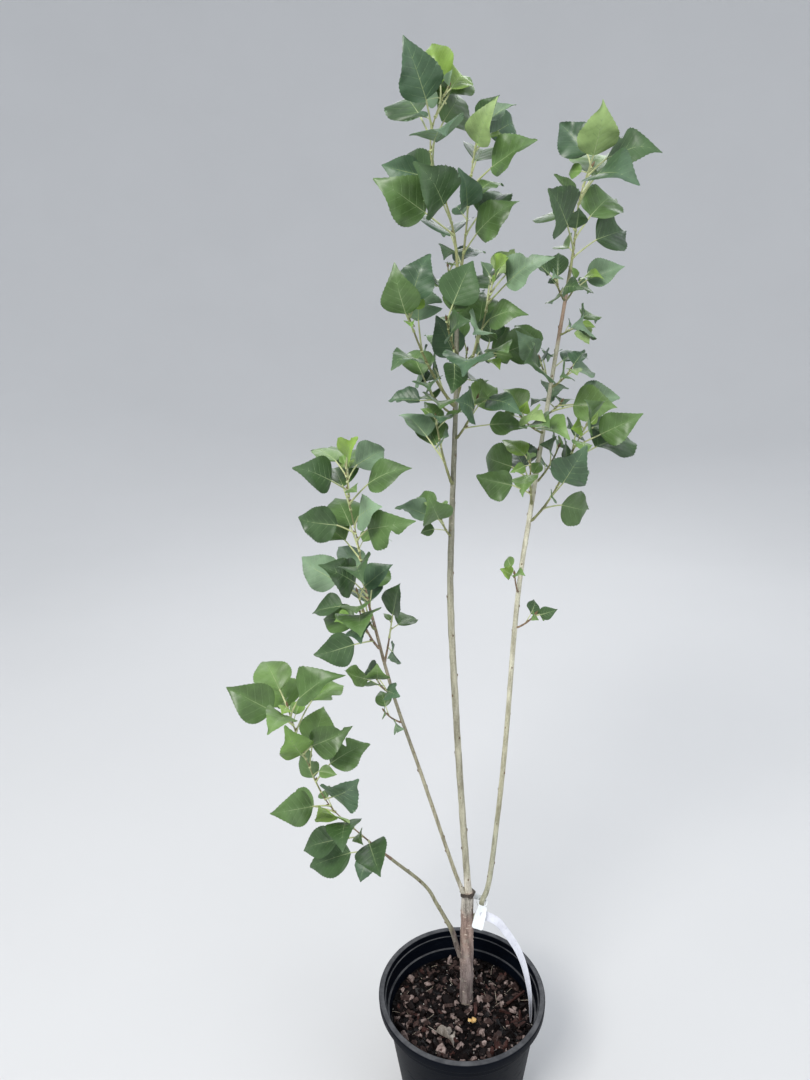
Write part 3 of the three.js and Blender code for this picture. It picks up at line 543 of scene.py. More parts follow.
# Leafy shoots. Headings are degrees from +X towards +Y and leans are degrees from upright.
# A space is the ellipse that a shoot's leaves fill as seen from the front: x, z, half width,
# half height.
Shoot = namedtuple("Shoot", "name parent height heading lean length leaves size space")
SHOOTS = [Shoot(*row) for row in [
    # name, parent, height on it (TIP: it carries on), heading, lean, length, leaves, size, space
    ("middle_left_low", "middle", TIP, -165, 13, 90, 5, 56, (-40, 1182, 45, 41)),
    ("middle_left_top", "middle_left_low", TIP, -20, 8, 80, 7, 60, (-24, 1266, 40, 43)),
    ("middle_right_low", "middle", 1095, 40, 10, 80, 5, 50, (24, 1168, 37, 29)),
    ("middle_right_top", "middle_right_low", TIP, 25, 10, 65, 6, 48, (32, 1226, 28, 33)),
    ("middle_high_low", "middle", 990, -35, 24, 75, 4, 50, (30, 1070, 29, 17)),
    ("middle_high_top", "middle_high_low", TIP, -15, 13, 40, 5, 50, (46, 1106, 27, 17)),
    ("middle_left_high", "middle", 970, -155, 28, 110, 6, 52, (-52, 1100, 32, 34)),
    ("middle_front", "middle", 1025, -105, 53, 60, 5, 46, (-4, 1094, 27, 17)),
    ("middle_left_mid", "middle", 960, -150, 45, 45, 5, 46, (-66, 1040, 31, 20)),
    ("middle_left_long", "middle", 885, -120, 25, 85, 5, 40, (-36, 970, 34, 42)),
    ("middle_right_spur", "middle", 935, -50, 34, 55, 4, 44, (28, 974, 34, 27)),
    ("middle_low_spur", "middle", 825, -125, 34, 35, 3, 50, (-36, 854, 24, 27)),
    ("middle_right_mid", "middle", 1005, -25, 58, 40, 5, 46, (48, 1032, 37, 26)),
    ("middle_back_high", "middle", 1050, 95, 43, 85, 4, 46, (30, 1122, 34, 13)),
    ("middle_back_mid", "middle", 975, 75, 54, 80, 4, 46, (-14, 1052, 27, 28)),
    ("right_leader_low", "right", TIP, 20, 6, 50, 5, 58, (130, 1148, 56, 35)),
    ("right_leader_top", "right_leader_low", TIP, 15, 17, 50, 5, 62, (134, 1210, 41, 43)),
    ("right_high_left", "right", 1075, -135, 37, 30, 3, 34, (100, 1102, 18, 16)),
    ("right_high_right", "right", 1075, 50, 51, 25, 3, 36, (138, 1100, 26, 19)),
    ("right_up_spur", "right", 1040, -40, 58, 20, 2, 44, (124, 1052, 18, 16)),
    ("right_mid_spur", "right", 985, -25, 45, 25, 3, 40, (122, 1006, 24, 16)),
    ("right_left_up", "right", 990, -130, 42, 35, 4, 46, (76, 1026, 19, 16)),
    ("right_low_spur", "right", 955, 40, 64, 25, 4, 40, (150, 972, 29, 25)),
    ("right_left_mid", "right", 935, -135, 59, 45, 4, 46, (64, 958, 30, 26)),
    ("right_long_low", "right", 835, -20, 30, 70, 4, 48, (122, 874, 24, 45)),
    ("right_long_top", "right_long_low", TIP, -25, 23, 55, 5, 58, (158, 936, 37, 28)),
    ("right_left_low", "right", 855, -105, 23, 60, 5, 48, (54, 902, 37, 37)),
    ("right_back", "right", 975, 75, 56, 75, 3, 40, (112, 966, 20, 26)),
    ("right_mid_low", "right", 880, 20, 35, 45, 4, 44, (106, 924, 24, 28)),
    ("right_small_left", "right", 750, -115, 28, 30, 1, 18, (58, 794, 14, 14)),
    ("right_small_right", "right", 705, -30, 46, 30, 2, 20, (92, 736, 23, 16)),
    ("left_leader_low", "left", TIP, -160, 9, 40, 5, 48, (-130, 788, 63, 27)),
    ("left_leader_mid", "left_leader_low", TIP, -160, 8, 70, 6, 50, (-120, 840, 58, 32)),
    ("left_leader_top", "left_leader_mid", TIP, -145, 5, 60, 7, 50, (-118, 904, 50, 37)),
    ("left_spur_high", "left", 725, -120, 29, 65, 4, 52, (-134, 772, 31, 23)),
    ("left_spur_mid", "left", 700, -120, 32, 70, 4, 56, (-132, 716, 32, 29)),
    ("left_spur_low", "left", 640, -125, 42, 40, 5, 38, (-80, 720, 25, 27)),
    ("left_back", "left", 680, 80, 58, 55, 3, 46, (-84, 764, 20, 17)),
    ("left_small", "left", 600, -150, 45, 30, 3, 22, (-90, 642, 28, 31)),
    ("low_leader_foot", "low", TIP, -165, 39, 90, 5, 56, (-148, 402, 59, 57)),
    ("low_leader_mid", "low_leader_foot", TIP, -160, 28, 55, 4, 60, (-164, 474, 57, 42)),
    ("low_leader_upper", "low_leader_mid", TIP, -150, 17, 65, 4, 62, (-172, 564, 51, 52)),
    ("low_leader_top", "low_leader_upper", TIP, -145, 13, 60, 6, 62, (-202, 634, 76, 47)),
]]

# A twig's radius at its foot, by its length or as a part of its parent's tip, and its taper
TWIG_FOOT_RADIUS = 1.0
LEADER_PART = 0.95
TWIG_SWELL = 0.011
TWIG_TAPER = 0.013
TWIG_TIP_RADIUS = 0.8
TWIG_BEND = np.array([0.65, 0.65, 0.42])

# Half breadth of a leaf along its length, as parts of that length, where room for it is tested
PLAIN_OUTLINE = [(0, 0), (0.12, 0.30), (0.34, 0.45), (0.64, 0.26), (1, 0.012)]

# How leaves are set: each is drawn a number of times, and the best clear one is kept
SEED = 16
SEED_STEP = 97
TRIES = 120
SPENT_DRAWS = 4
LEAF_DRAWS = 8
FIRST_LEAF = 0.1
LAST_LEAF = 0.985
NODE_VARY = 0.3
NODE_CROWDING = 0.9
SPIRAL = np.radians(137.5)
SPIRAL_VARY = 1.5
LIGHT = np.array([0.0, -0.9, 0.3])
SHOOT_PULL = 0.2
LEAF_ROLL = np.radians(40)

# How a leaf changes from its shoot's foot to its tip: at the foot, at the tip, either way
OPENING = np.radians([70, 28, 16])
FALL = (0.6, -0.3, 0.55)
PETIOLE_PART = (0.72, 0.36, 0.25)
SIZE_VARY = 0.2
TIP_SHRINK = 0.2
OUTWARD = 0.45
PETIOLE_KNEE = 0.6

# A leaf's fold and curl: the middle value, and how far it strays
FOLD = (0.16, 0.14)
CURL = (0.12, 0.14)

# What keeps leaves clear of each other and of wood
BLADE_MARGIN = 2.6
STALK_MARGIN = 1.1
WOOD_MARGIN = 0.4
FIRST_ROW = 0.05
LEAF_ROWS = 11
LEAF_LANES = 7
STALK_STEP = 3.0
TRUNK_TESTS = 60
STEM_TESTS = 320
STEM_GROUP = 20
TWIG_TESTS = 28

# The eye that sees the plant from the front, and how what it sees is counted
EYE = np.array([-62.0, -853.0, 1095.0])
CELL = 6.0
OUTSIDE_COST = 1.2
COVERED_COST = 0.5


def stem_places(stem, times):
    """A smooth curve through a stem's places: uniform cubics whose slope at each place is half
    the step between its neighbours, the row carried on straight past both ends."""
    through = np.array(stem[0], float)
    ends = [2 * through[0] - through[1]], [2 * through[-1] - through[-2]]
    padded = np.concatenate([ends[0], through, ends[1]])
    reach = np.clip(np.asarray(times, float), 0, 1) * (len(through) - 1)
    before = np.minimum(reach.astype(int), len(through) - 2)
    w = (reach - before)[..., None]
    p0, p1, p2, p3 = (padded[before + step] for step in range(4))
    slope1, slope2 = 0.5 * (p2 - p0), 0.5 * (p3 - p1)
    cubic = 2 * p1 - 2 * p2 + slope1 + slope2
    return ((cubic * w + (-3 * p1 + 3 * p2 - 2 * slope1 - slope2)) * w + slope1) * w + p1


def stem_radius(stem, times):
    """Radii between a stem's places, in straight stretches."""
    radii = stem[1]
    return np.interp(np.asarray(times) * (len(radii) - 1), np.arange(len(radii)), radii)


def stem_direction(stem, times):
    """The way the stem runs, from two near places on it."""
    times = np.asarray(times, float)
    after = stem_places(stem, np.minimum(times + TANGENT_STEP, 1))
    return unit(after - stem_places(stem, np.maximum(times - TANGENT_STEP, 0)))


def time_at_height(stem, height):
    """Halving finds where a rising stem passes a height."""
    low, high = 0.0, 1.0
    for _ in range(HALVINGS):
        middle = (low + high) / 2
        if stem_places(stem, middle)[2] < height:
            low = middle
        else:
            high = middle
    return low


Curve = namedtuple("Curve", "foot bend tip faces radius length")


def shoot_curve(shoot, grown):
    """A shoot leaves its stem sideways and turns up, or carries on from its parent's tip."""
    heading, lean = np.radians([shoot.heading, shoot.lean])
    way = np.array([np.sin(lean) * np.cos(heading), np.sin(lean) * np.sin(heading), np.cos(lean)])
    way = way * shoot.length
    stem = STEMS.get(shoot.parent)
    if shoot.height is not TIP:
        t = time_at_height(stem, shoot.height)
        along = stem_direction(stem, t)
        out = square_to(np.array([np.cos(heading), np.sin(heading), 0.0]), along)
        foot = stem_places(stem, t) + out * (stem_radius(stem, t) + GAP)
        radius = TWIG_FOOT_RADIUS + TWIG_SWELL * shoot.length
        return Curve(foot, foot + way * TWIG_BEND, foot + way, out, radius, shoot.length)
    if stem:
        end, faces = stem_places(stem, 1.0), stem_direction(stem, 1.0)
        radius = LEADER_PART * stem_radius(stem, 1.0)
    else:
        parent = grown[shoot.parent]
        end, faces = parent.tip, unit(parent.tip - parent.bend)
        radius = twig_radius(parent, 1.0)
    foot = end + GAP * faces
    return Curve(foot, foot + 0.5 * shoot.length * faces, foot + way, faces, radius, shoot.length)


def twig_radius(curve, t):
    """A twig narrows evenly from its foot, down to its thinnest."""
    return np.maximum(curve.radius - TWIG_TAPER * curve.length * t, TWIG_TIP_RADIUS)


def twig_place(curve, t):
    """A quadratic curve from foot by bend to tip."""
    return between(curve.foot, curve.bend, curve.tip, np.asarray(t, float)[..., None])


def twig_direction(curve, t):
    """The way the twig runs there."""
    t = np.asarray(t, float)[..., None]
    return unit((1 - t) * (curve.bend - curve.foot) + t * (curve.tip - curve.bend))


def numbers_from(seed):
    """The same seed always gives the same row of numbers between 0 and 1."""
    state = seed
    while True:
        state = state * 16807 % 2147483647
        yield (state - 1) / 2147483646


def leaf_tries(shoot, curve, start, index, vary):
    """Every try of one leaf, a row of draws for each.

    Leaves stand round the shoot in a spiral, wide and hanging at its foot and close at its
    tip, each blade turned to the light and then rolled a little.
    """
    part = (index + 0.5 + NODE_VARY * vary[:, 0]) / shoot.leaves
    t = np.minimum(FIRST_LEAF + (1 - FIRST_LEAF) * part**NODE_CROWDING, LAST_LEAF)
    node, along = twig_place(curve, t), twig_direction(curve, t)
    side = unit(np.cross(along, [0.0, 1.0, 0.0]))
    other = np.cross(along, side)
    turn = (start + SPIRAL * index + SPIRAL_VARY * vary[:, 1])[:, None]
    out = np.cos(turn) * side + np.sin(turn) * other
    opening = (OPENING[0] + (OPENING[1] - OPENING[0]) * part + OPENING[2] * vary[:, 2])[:, None]
    grow = np.cos(opening) * along + np.sin(opening) * out
    size = shoot.size * (1 + SIZE_VARY * vary[:, 3]) * (1 - TIP_SHRINK * part * part)
    stalk_part = PETIOLE_PART[0] + (PETIOLE_PART[1] - PETIOLE_PART[0]) * part
    petiole = (size * stalk_part * (1 + PETIOLE_PART[2] * vary[:, 7]))[:, None]
    level = unit(out * [1, 1, 0])
    fall = FALL[0] + (FALL[1] - FALL[0]) * part + FALL[2] * vary[:, 4]
    axis = unit(grow + OUTWARD * level - fall[:, None] * UP)
    faces = square_to(SHOOT_PULL * along + LIGHT, axis)
    across = np.cross(faces, axis)
    roll = LEAF_ROLL * vary[:, 5:6]
    knee = node + PETIOLE_KNEE * petiole * grow
    return {
        "node": node,
        "knee": knee,
        "foot": knee + (1 - PETIOLE_KNEE) * petiole * unit(grow + axis),
        "along": along,
        "out": out,
        "grow": grow,
        "axis": axis,
        "across": np.cos(roll) * across - np.sin(roll) * faces,
        "normal": np.cos(roll) * faces + np.sin(roll) * across,
        "size": size,
        "fold": FOLD[0] + FOLD[1] * vary[:, 6],
        "curl": CURL[0] - CURL[1] * vary[:, 6],
        "part": part,
    }


def plain_blades(leaves):
    """Test places all over each blade, in rows from foot to tip."""
    u = np.repeat(np.linspace(FIRST_ROW, 1, LEAF_ROWS), LEAF_LANES)[:, None]
    half = np.interp(u, *zip(*PLAIN_OUTLINE))
    v = np.tile(np.linspace(-1, 1, LEAF_LANES), LEAF_ROWS)[:, None] * half
    way = {name: leaves[name][:, None, :] for name in ("foot", "axis", "across", "normal")}
    size, fold, curl = (leaves[name][:, None, None] for name in ("size", "fold", "curl"))
    lift = fold * np.abs(v) - curl * u * u
    return way["foot"] + size * (way["axis"] * u + way["across"] * v + way["normal"] * lift)


Group = namedtuple("Group", "owner places margins centre reach")


def group_of(owner, places, margins):
    """Places, each with a margin round it that nothing else may enter."""
    margins = np.broadcast_to(margins, len(places))
    centre = places.mean(0)
    reach = (np.linalg.norm(places - centre, axis=1) + margins).max()
    return Group(owner, places, margins, centre, reach)


def meet(one, other):
    """Whether any place of one is nearer to a place of the other than their margins."""
    if np.linalg.norm(one.centre - other.centre) >= one.reach + other.reach:
        return False
    apart = np.linalg.norm(one.places[:, None] - other.places[None], axis=2)
    return bool((apart < one.margins[:, None] + other.margins[None]).any())


def wood_groups(grown):
    """The room that trunk, stems and twigs take."""
    heights = np.linspace(TRUNK_FOOT[2], TRUNK_TOP[2], TRUNK_TESTS)
    groups = [group_of("trunk", trunk_axis(heights), trunk_radius(heights) + WOOD_MARGIN)]
    for name, stem in STEMS.items():
        for times in np.split(np.linspace(0, 1, STEM_TESTS), STEM_TESTS // STEM_GROUP):
            margins = stem_radius(stem, times) + WOOD_MARGIN
            groups.append(group_of(name, stem_places(stem, times), margins))
    times = np.linspace(0, 1, TWIG_TESTS)
    for name, curve in grown.items():
        groups.append(group_of(name, twig_place(curve, times), twig_radius(curve, times) + WOOD_MARGIN))
    return groups


def cells_of(places):
    """The cells of the front view that places cover, on the upright plane of the pot's axis."""
    shrink = EYE[1] / (EYE[1] - places[:, 1])
    columns = np.floor((EYE[0] + (places[:, 0] - EYE[0]) * shrink) / CELL).astype(int)
    rows = np.floor((EYE[2] + (places[:, 2] - EYE[2]) * shrink) / CELL).astype(int)
    return set(zip(columns.tolist(), rows.tolist()))


def merit(cells, space, covered):
    """How well cells fill a space that isn't covered yet."""
    x, z, half_width, half_height = space
    total = 0.0
    for cell in cells:
        column, row = (cell[0] + 0.5) * CELL, (cell[1] + 0.5) * CELL
        if ((column - x) / half_width) ** 2 + ((row - z) / half_height) ** 2 >= 1:
            total -= OUTSIDE_COST
        elif cell not in covered:
            total += 1
        if cell in covered:
            total -= COVERED_COST
    return total


def grow_leaves(shoot, curve, seed, taken, covered, tries=TRIES, worth_keeping=None):
    """Each leaf takes the best of its tries that is clear of all wood and of the leaves
    before it, and is skipped where none is, or where its best is worth too little."""
    draws = numbers_from(seed)
    for _ in range(SPENT_DRAWS):
        next(draws)
    start = next(draws) * 2 * np.pi
    kept = []
    for index in range(shoot.leaves):
        vary = np.array([[next(draws) * 2 - 1 for _ in range(LEAF_DRAWS)] for _ in range(tries)])
        leaves = leaf_tries(shoot, curve, start, index, vary)
        blades = plain_blades(leaves)
        cells = [cells_of(blade) for blade in blades]
        worth = [merit(seen, shoot.space, covered) for seen in cells]
        for best in sorted(range(tries), key=lambda k: -worth[k]):
            if worth_keeping is not None and worth[best] < worth_keeping:
                break
            leaf = {name: values[best] for name, values in leaves.items()}
            length = np.linalg.norm(leaf["foot"] - leaf["node"])
            steps = np.arange(STALK_STEP, length, STALK_STEP)[:, None] / length
            stalk = leaf["node"] + steps * (leaf["foot"] - leaf["node"])
            blade = group_of(None, blades[best], BLADE_MARGIN)
            petiole = group_of(None, stalk, STALK_MARGIN)
            if not any(
                meet(blade, group) or (group.owner != shoot.name and meet(petiole, group))
                for group in taken
            ):
                kept.append(leaf)
                taken += [blade, petiole]
                covered |= cells[best]
                break
    return kept


# Skins and pieces

# The one direction that the rings of tubes are turned to, and how far two faces turn away
# from each other at a sharp edge
TUBE_ACROSS = np.array([0.31, -0.87, 0.38])
SHARP_FROM = np.radians(62)


def skin(rings):
    """Closed skins over rings of equally many corners, one skin for each leading index.

    Corner (i, j) of a skin joins its neighbours round the ring and in the next ring by two
    triangles, and a pole at the middle of each end ring closes it. Rings run anticlockwise
    as seen from ahead of the path.
    """
    shapes, count, sides = rings.shape[:3]
    poles = rings[:, [0, -1]].mean(axis=2)
    corners = np.concatenate([rings.reshape(shapes, -1, 3), poles], axis=1)
    here = np.arange(sides)
    after = (here + 1) % sides
    row = np.arange(count - 1)[:, None] * sides
    a, b, c, d = row + here, row + after, row + sides + after, row + sides + here
    walls = np.stack([a, b, c, a, c, d], axis=-1).reshape(-1, 3)
    first, last = count * sides, (count - 1) * sides
    caps = np.concatenate([
        np.stack([np.full(sides, first), after, here], axis=-1),
        np.stack([np.full(sides, first + 1), last + here, last + after], axis=-1),
    ])
    faces = np.concatenate([walls, caps])
    offsets = np.arange(shapes)[:, None, None] * corners.shape[1]
    return corners.reshape(-1, 3), (faces + offsets).reshape(-1, 3)


def turns(sides):
    """Equal steps of one whole turn."""
    return np.arange(sides) / sides * 2 * np.pi


def level_ways(turn):
    """Level directions, each turned that far from +X towards +Y."""
    return np.stack([np.cos(turn), np.sin(turn), np.zeros(len(turn))], axis=-1)


def tubes(paths, radii, sides, reference=TUBE_ACROSS):
    """Round rings along paths: centre + radius (cos a first + sin a second). First and second
    are square to the path, and keep step along it because both come from one reference."""
    ways = unit(np.gradient(paths, axis=-2))
    first = square_to(np.broadcast_to(reference, ways.shape), ways)
    second = np.cross(ways, first)
    turn = turns(sides)[:, None]
    round_part = np.cos(turn) * first[..., None, :] + np.sin(turn) * second[..., None, :]
    return paths[..., None, :] + np.asarray(radii)[..., None, None] * round_part


def join(parts):
    """Several lots of corners and triangles as one."""
    corners, faces, start = [], [], 0
    for more_corners, more_faces in parts:
        corners.append(more_corners)
        faces.append(more_faces + start)
        start += len(more_corners)
    return np.concatenate(corners), np.concatenate(faces)


def mesh_of(name, corners, faces):
    """A mesh in metres from corners in millimetres."""
    mesh = bpy.data.meshes.new(name)
    mesh.from_pydata((corners * MM).tolist(), [], faces.tolist())
    return mesh


def add_piece(
    name, corners, faces, finishes, slot, replaces=(), finish_of_face=None, uv=None, flat=False,
):
    """A finished piece that rides on the plant's one body."""
    mesh = mesh_of(name, corners, faces)
    mesh.polygons.foreach_set("use_smooth", np.full(len(faces), not flat))
    for material in finishes:
        mesh.materials.append(material)
    if finish_of_face is not None:
        mesh.polygons.foreach_set("material_index", finish_of_face.astype(np.int32))
    if uv is not None:
        mesh.uv_layers.new(name="blade").data.foreach_set("uv", uv[faces.ravel()].ravel())
    mesh.validate()
    mesh.update()
    if not flat:
        mesh.set_sharp_from_angle(angle=SHARP_FROM)
    piece = in_scene(name, mesh)
    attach(piece, "root")
    if replaces:
        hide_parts(*replaces)
    return piece


def smooth_steps(value):
    """0 to 1 as value goes from 0 to 1, level at both ends."""
    value = np.clip(value, 0, 1)
    return value * value * (3 - 2 * value)


# Bark

# The skin's rows and sides, and how far a stem's foot is sunk and swollen
TRUNK_ROW = 1.3
TRUNK_SIDES = 72
TRUNK_SINK = 4.0
STEM_ROW = 2.6
STEM_SIDES = 26
STEM_SINK = 2.5
COLLAR = 0.9
COLLAR_DEPTH = 6.0
LENGTH_STEPS = 200

# Bark waves: how many, their lengths, their height as a part of the radius, and how it fades
BARK_WAVES = 9
BARK_WAVE_LENGTHS = (5.0, 30.0)
BARK_RELIEF = 0.022
BARK_FADE = 0.7

# Leaf scars: the step between them, and a scar's rise, length, breadth and part all round.
# The trunk's own scars are given by the distance up it and the side each faces.
SCAR_STEP = 27.0
SCAR_VARY = 0.2
SCAR_RISE = 0.10
SCAR_LENGTH = 3.2
SCAR_BREADTH = 0.5
SCAR_ALL_ROUND = 0.35
TRUNK_SCARS = [(46.0, 0.3), (74.0, 3.4), (121.0, 5.2), (149.0, 1.6)]

# The lip round the pruned top: its waves as (count, part, phase), the waist under it and the
# dished end, in rings that are parts of the last one
LIP_HEIGHT = TRUNK_TOP[2] - 3.0
LIP_RISE = 2.3
LIP_DEPTH = 3.0
LIP_WAVES = [(5, 0.45, 1.1), (2, 0.25, 4), (9, 0.2, 0)]
WAIST_BELOW = 7.0
WAIST_CUT = 0.5
WAIST_DEPTH = 2.5
DISH_RINGS = (0.86, 0.66, 0.4)
DISH_DEPTH = 1.2
CUT_RADIUS = 6.6
FOOT_TUCK = 1.9

# Lenticels: how many the trunk has, the stem's length for each one, their widths, and the
# parts of the width that they are tall and stand out
TRUNK_LENTICELS = 46
LENTICEL_STEP = 5.5
TRUNK_LENTICEL_WIDTH = 2.0
STEM_LENTICEL_WIDTH = 0.8
LENTICEL_VARY = (0.6, 1.3)
LENTICEL_TALL = 0.42
LENTICEL_RISE = 0.30
LENTICEL_SINK = 0.12
LENTICEL_SIDES = 8


def bark_relief(along, turn, radius, rng, scars):
    """Radius times 1 + a sum of low waves round and along the limb + a bump at each scar.

    Wave k is sin(k turn + along / length_k + phase_k) over k to the power BARK_FADE. A scar's
    bump falls off as a bell curve along the limb and another round it.
    """
    relief = np.zeros(np.broadcast(along, turn).shape)
    for wave in range(1, BARK_WAVES + 1):
        length = rng.uniform(*BARK_WAVE_LENGTHS)
        phase = rng.uniform(0, 2 * np.pi)
        relief = relief + np.sin(wave * turn + along / length + phase) / wave**BARK_FADE
    swell = np.zeros_like(relief)
    for place, facing in scars:
        near = np.exp(-(((along - place) / SCAR_LENGTH) ** 2))
        off = (turn - facing + np.pi) % (2 * np.pi) - np.pi
        towards = np.exp(-(off**2) / SCAR_BREADTH)
        swell = swell + near * (SCAR_ALL_ROUND + (1 - SCAR_ALL_ROUND) * towards)
    return radius * (1 + BARK_RELIEF * relief + SCAR_RISE * swell)


def lengths_along(path):
    """How far each place of a path lies along it."""
    return np.concatenate([[0], np.cumsum(np.linalg.norm(np.diff(path, axis=0), axis=1))])


def scar_row(length, rng):
    """Leaf scars in a spiral up a limb: distance along it and the side each faces."""
    count = int(length / SCAR_STEP)
    number = np.arange(count)
    places = (number + 0.6 + rng.uniform(-SCAR_VARY, SCAR_VARY, count)) * SCAR_STEP
    facing = number * SPIRAL + rng.uniform(-SCAR_VARY, SCAR_VARY, count)
    return list(zip(places, facing % (2 * np.pi)))


def trunk_rings(rng):
    """The trunk in level rings, with a lumpy lip round its pruned top and a dished end.

    The lip and the waist under it are bell curves of the height, and the lip is multiplied by
    1 + a few waves round the trunk.
    """
    heights = np.arange(TRUNK_FOOT[2] - TRUNK_SINK, TRUNK_TOP[2], TRUNK_ROW)
    heights = np.append(heights, TRUNK_TOP[2] - 0.2)
    level = heights[:, None]
    turn = turns(TRUNK_SIDES)[None, :]
    radius = trunk_radius(np.maximum(level, TRUNK_FOOT[2]))
    radius = radius - FOOT_TUCK * np.exp((TRUNK_FOOT[2] - level) / ROOT_FLARE_HEIGHT)
    out = bark_relief(level - TRUNK_FOOT[2], turn, radius, rng, TRUNK_SCARS)
    lumps = 1 + sum(part * np.sin(count * turn + phase) for count, part, phase in LIP_WAVES)
    lip = LIP_RISE * lumps * np.exp(-(((level - LIP_HEIGHT) / LIP_DEPTH) ** 2))
    waist = WAIST_CUT * np.exp(-(((level - LIP_HEIGHT + WAIST_BELOW) / WAIST_DEPTH) ** 2))
    out = out + lip - waist
    rings = np.stack([out * np.cos(turn), out * np.sin(turn), np.zeros_like(out)], axis=-1)
    rings = rings + trunk_axis(heights)[:, None]
    middle = rings[-1].mean(0)
    part = np.array(DISH_RINGS)[:, None, None]
    dished = middle + (rings[-1] - middle) * part - UP * DISH_DEPTH * (1 - part)
    return np.concatenate([rings, dished])[None]


def stem_rings(stem, rng):
    """A stem's skin, its foot sunk into what carries it and swollen where it leaves it: rings
    square to its way, out by the bark's relief. Its measures come back with it."""
    length = lengths_along(stem_places(stem, np.linspace(0, 1, LENGTH_STEPS)))[-1]
    times = np.linspace(0, 1, int(length / STEM_ROW))
    path = stem_places(stem, times)
    ways = stem_direction(stem, times)
    sunk = path[0] - STEM_SINK * ways[0]
    path, ways = np.concatenate([[sunk], path]), np.concatenate([[ways[0]], ways])
    radii = np.append(stem_radius(stem, 0.0), stem_radius(stem, times))
    along = lengths_along(path)
    radii = radii + COLLAR * np.exp(-along / COLLAR_DEPTH)
    scars = scar_row(length, rng)
    first = square_to(np.broadcast_to(TUBE_ACROSS, ways.shape), ways)
    second = np.cross(ways, first)
    turn = turns(STEM_SIDES)[None, :]
    out = bark_relief(along[:, None], turn, radii[:, None], rng, scars)[..., None]
    round_way = np.cos(turn)[..., None] * first[:, None] + np.sin(turn)[..., None] * second[:, None]
    rings = path[:, None] + out * round_way
    return rings[None], {
        "path": path, "ways": ways, "radii": radii, "first": first, "second": second,
        "along": along, "scars": scars,
    }


def on_limb(limb, along, turn):
    """A place on a limb's bark, the way out there and the way up the limb."""
    centre, way, first, second = (
        np.stack([np.interp(along, limb["along"], limb[key][:, axis]) for axis in range(3)], axis=-1)
        for key in ("path", "ways", "first", "second")
    )
    out = unit(np.cos(turn)[:, None] * first + np.sin(turn)[:, None] * second)
    return centre + out * np.interp(along, limb["along"], limb["radii"])[:, None], out, unit(way)


def lens_rings(places, out, up, lengths, heights, rises):
    """Low lens-shaped bumps on bark: ring k is a squashed circle at rise sin(k), its width
    running round the limb, so the bump stands half out of the bark."""
    across = np.cross(up, out)
    steps = np.linspace(-0.35, 0.42, 4) * np.pi
    turn = turns(LENTICEL_SIDES)
    spread, rise = np.cos(steps)[:, None], np.sin(steps)[:, None]
    wide = (spread * np.cos(turn))[..., None] * across[:, None, None] * lengths[:, None, None, None]
    tall = (spread * np.sin(turn))[..., None] * up[:, None, None] * heights[:, None, None, None]
    lift = (rise * np.ones(LENTICEL_SIDES))[..., None] * out[:, None, None] * rises[:, None, None, None]
    return places[:, None, None] - wide + tall + lift


def spindle_rings(places, ways, lengths, radii):
    """Pointed buds: along a short straight path, the radius times sin(pi s^0.62)."""
    s = np.array([0.03, 0.18, 0.36, 0.56, 0.76, 0.92, 0.995])
    paths = places[:, None] + ways[:, None] * s[:, None] * lengths[:, None, None]
    return tubes(paths, radii[:, None] * np.sin(np.pi * s**0.62), BUD_SIDES)


# Leaves

# Half breadth along the leaf: a short wedged base, full round shoulders and a short point
OUTLINE = [
    (0.0, 0.0), (0.03, 0.12), (0.09, 0.275), (0.18, 0.395), (0.28, 0.455), (0.38, 0.47),
    (0.50, 0.435), (0.62, 0.350), (0.74, 0.240), (0.84, 0.140), (0.91, 0.075), (0.96, 0.035),
    (1.0, 0.004),
]

# Its greatest half breadth, and how near the places are that round its corners
WIDEST = 0.47
CORNER_EASE = 0.03

# A blade's rows from foot to tip, a leaf's and a small leaf's, and its lanes to either margin
LEAF_STATIONS = 33
SMALL_STATIONS = 13
LANES = np.array([1.0, 0.8, 0.5, 0.2])
BLADE_THICKNESS = 0.45

# The teeth, in leaf lengths, and the stretch of the margin that has them
TOOTH_DEPTH = 0.032
TOOTH_LEAN = 0.008
TOOTHED = (0.08, 0.95)

# How every blade bends, in leaf lengths
MIDRIB_ROUND = 0.03
MARGIN_DROOP = 0.055
BEND_FROM = 0.55

# What each blade has of its own, least and most, in the order of the draws. This fold is
# added to the one it grew with, and a bite's depth is a part of the half breadth.
OWN_SPANS = {
    "phase": (0, 2 * np.pi),
    "twist": (-0.40, 0.40),
    "bend": (0.1, 1.6),
    "fold": (-0.04, 0.46),
    "ruffle": (0.014, 0.062),
    "breadth": (0.80, 1.04),
    "lopsided": (-0.045, 0.045),
    "bite": (0.35, 0.70),
}

# The share of blades that are bitten, and a bite's place and length
BITTEN_SHARE = 0.20
BITE_PLACE = (0.3, 0.85)
BITE_LENGTH = (0.035, 0.075)

# Veins: where side veins leave the midrib and how they rise, and the hollows along them
VEIN_PAIRS = 5
VEIN_FIRST = 0.04
VEIN_SPACING = 0.165
VEIN_RISE = 0.82
VEIN_REACH = 0.86
VEIN_ROWS = 6
RIB_ROWS = 9
VEIN_RADIUS = 0.30
MIDRIB_RADIUS = 0.62
QUILT = 0.0022

# Petioles: sides, and radius by the leaf's size
STALK_SIDES = 7
STALK_SIZES = (15, 50)
STALK_RADII = (0.55, 1.05)
STALK_ACROSS = np.array([0.2, 0.9, 0.4])


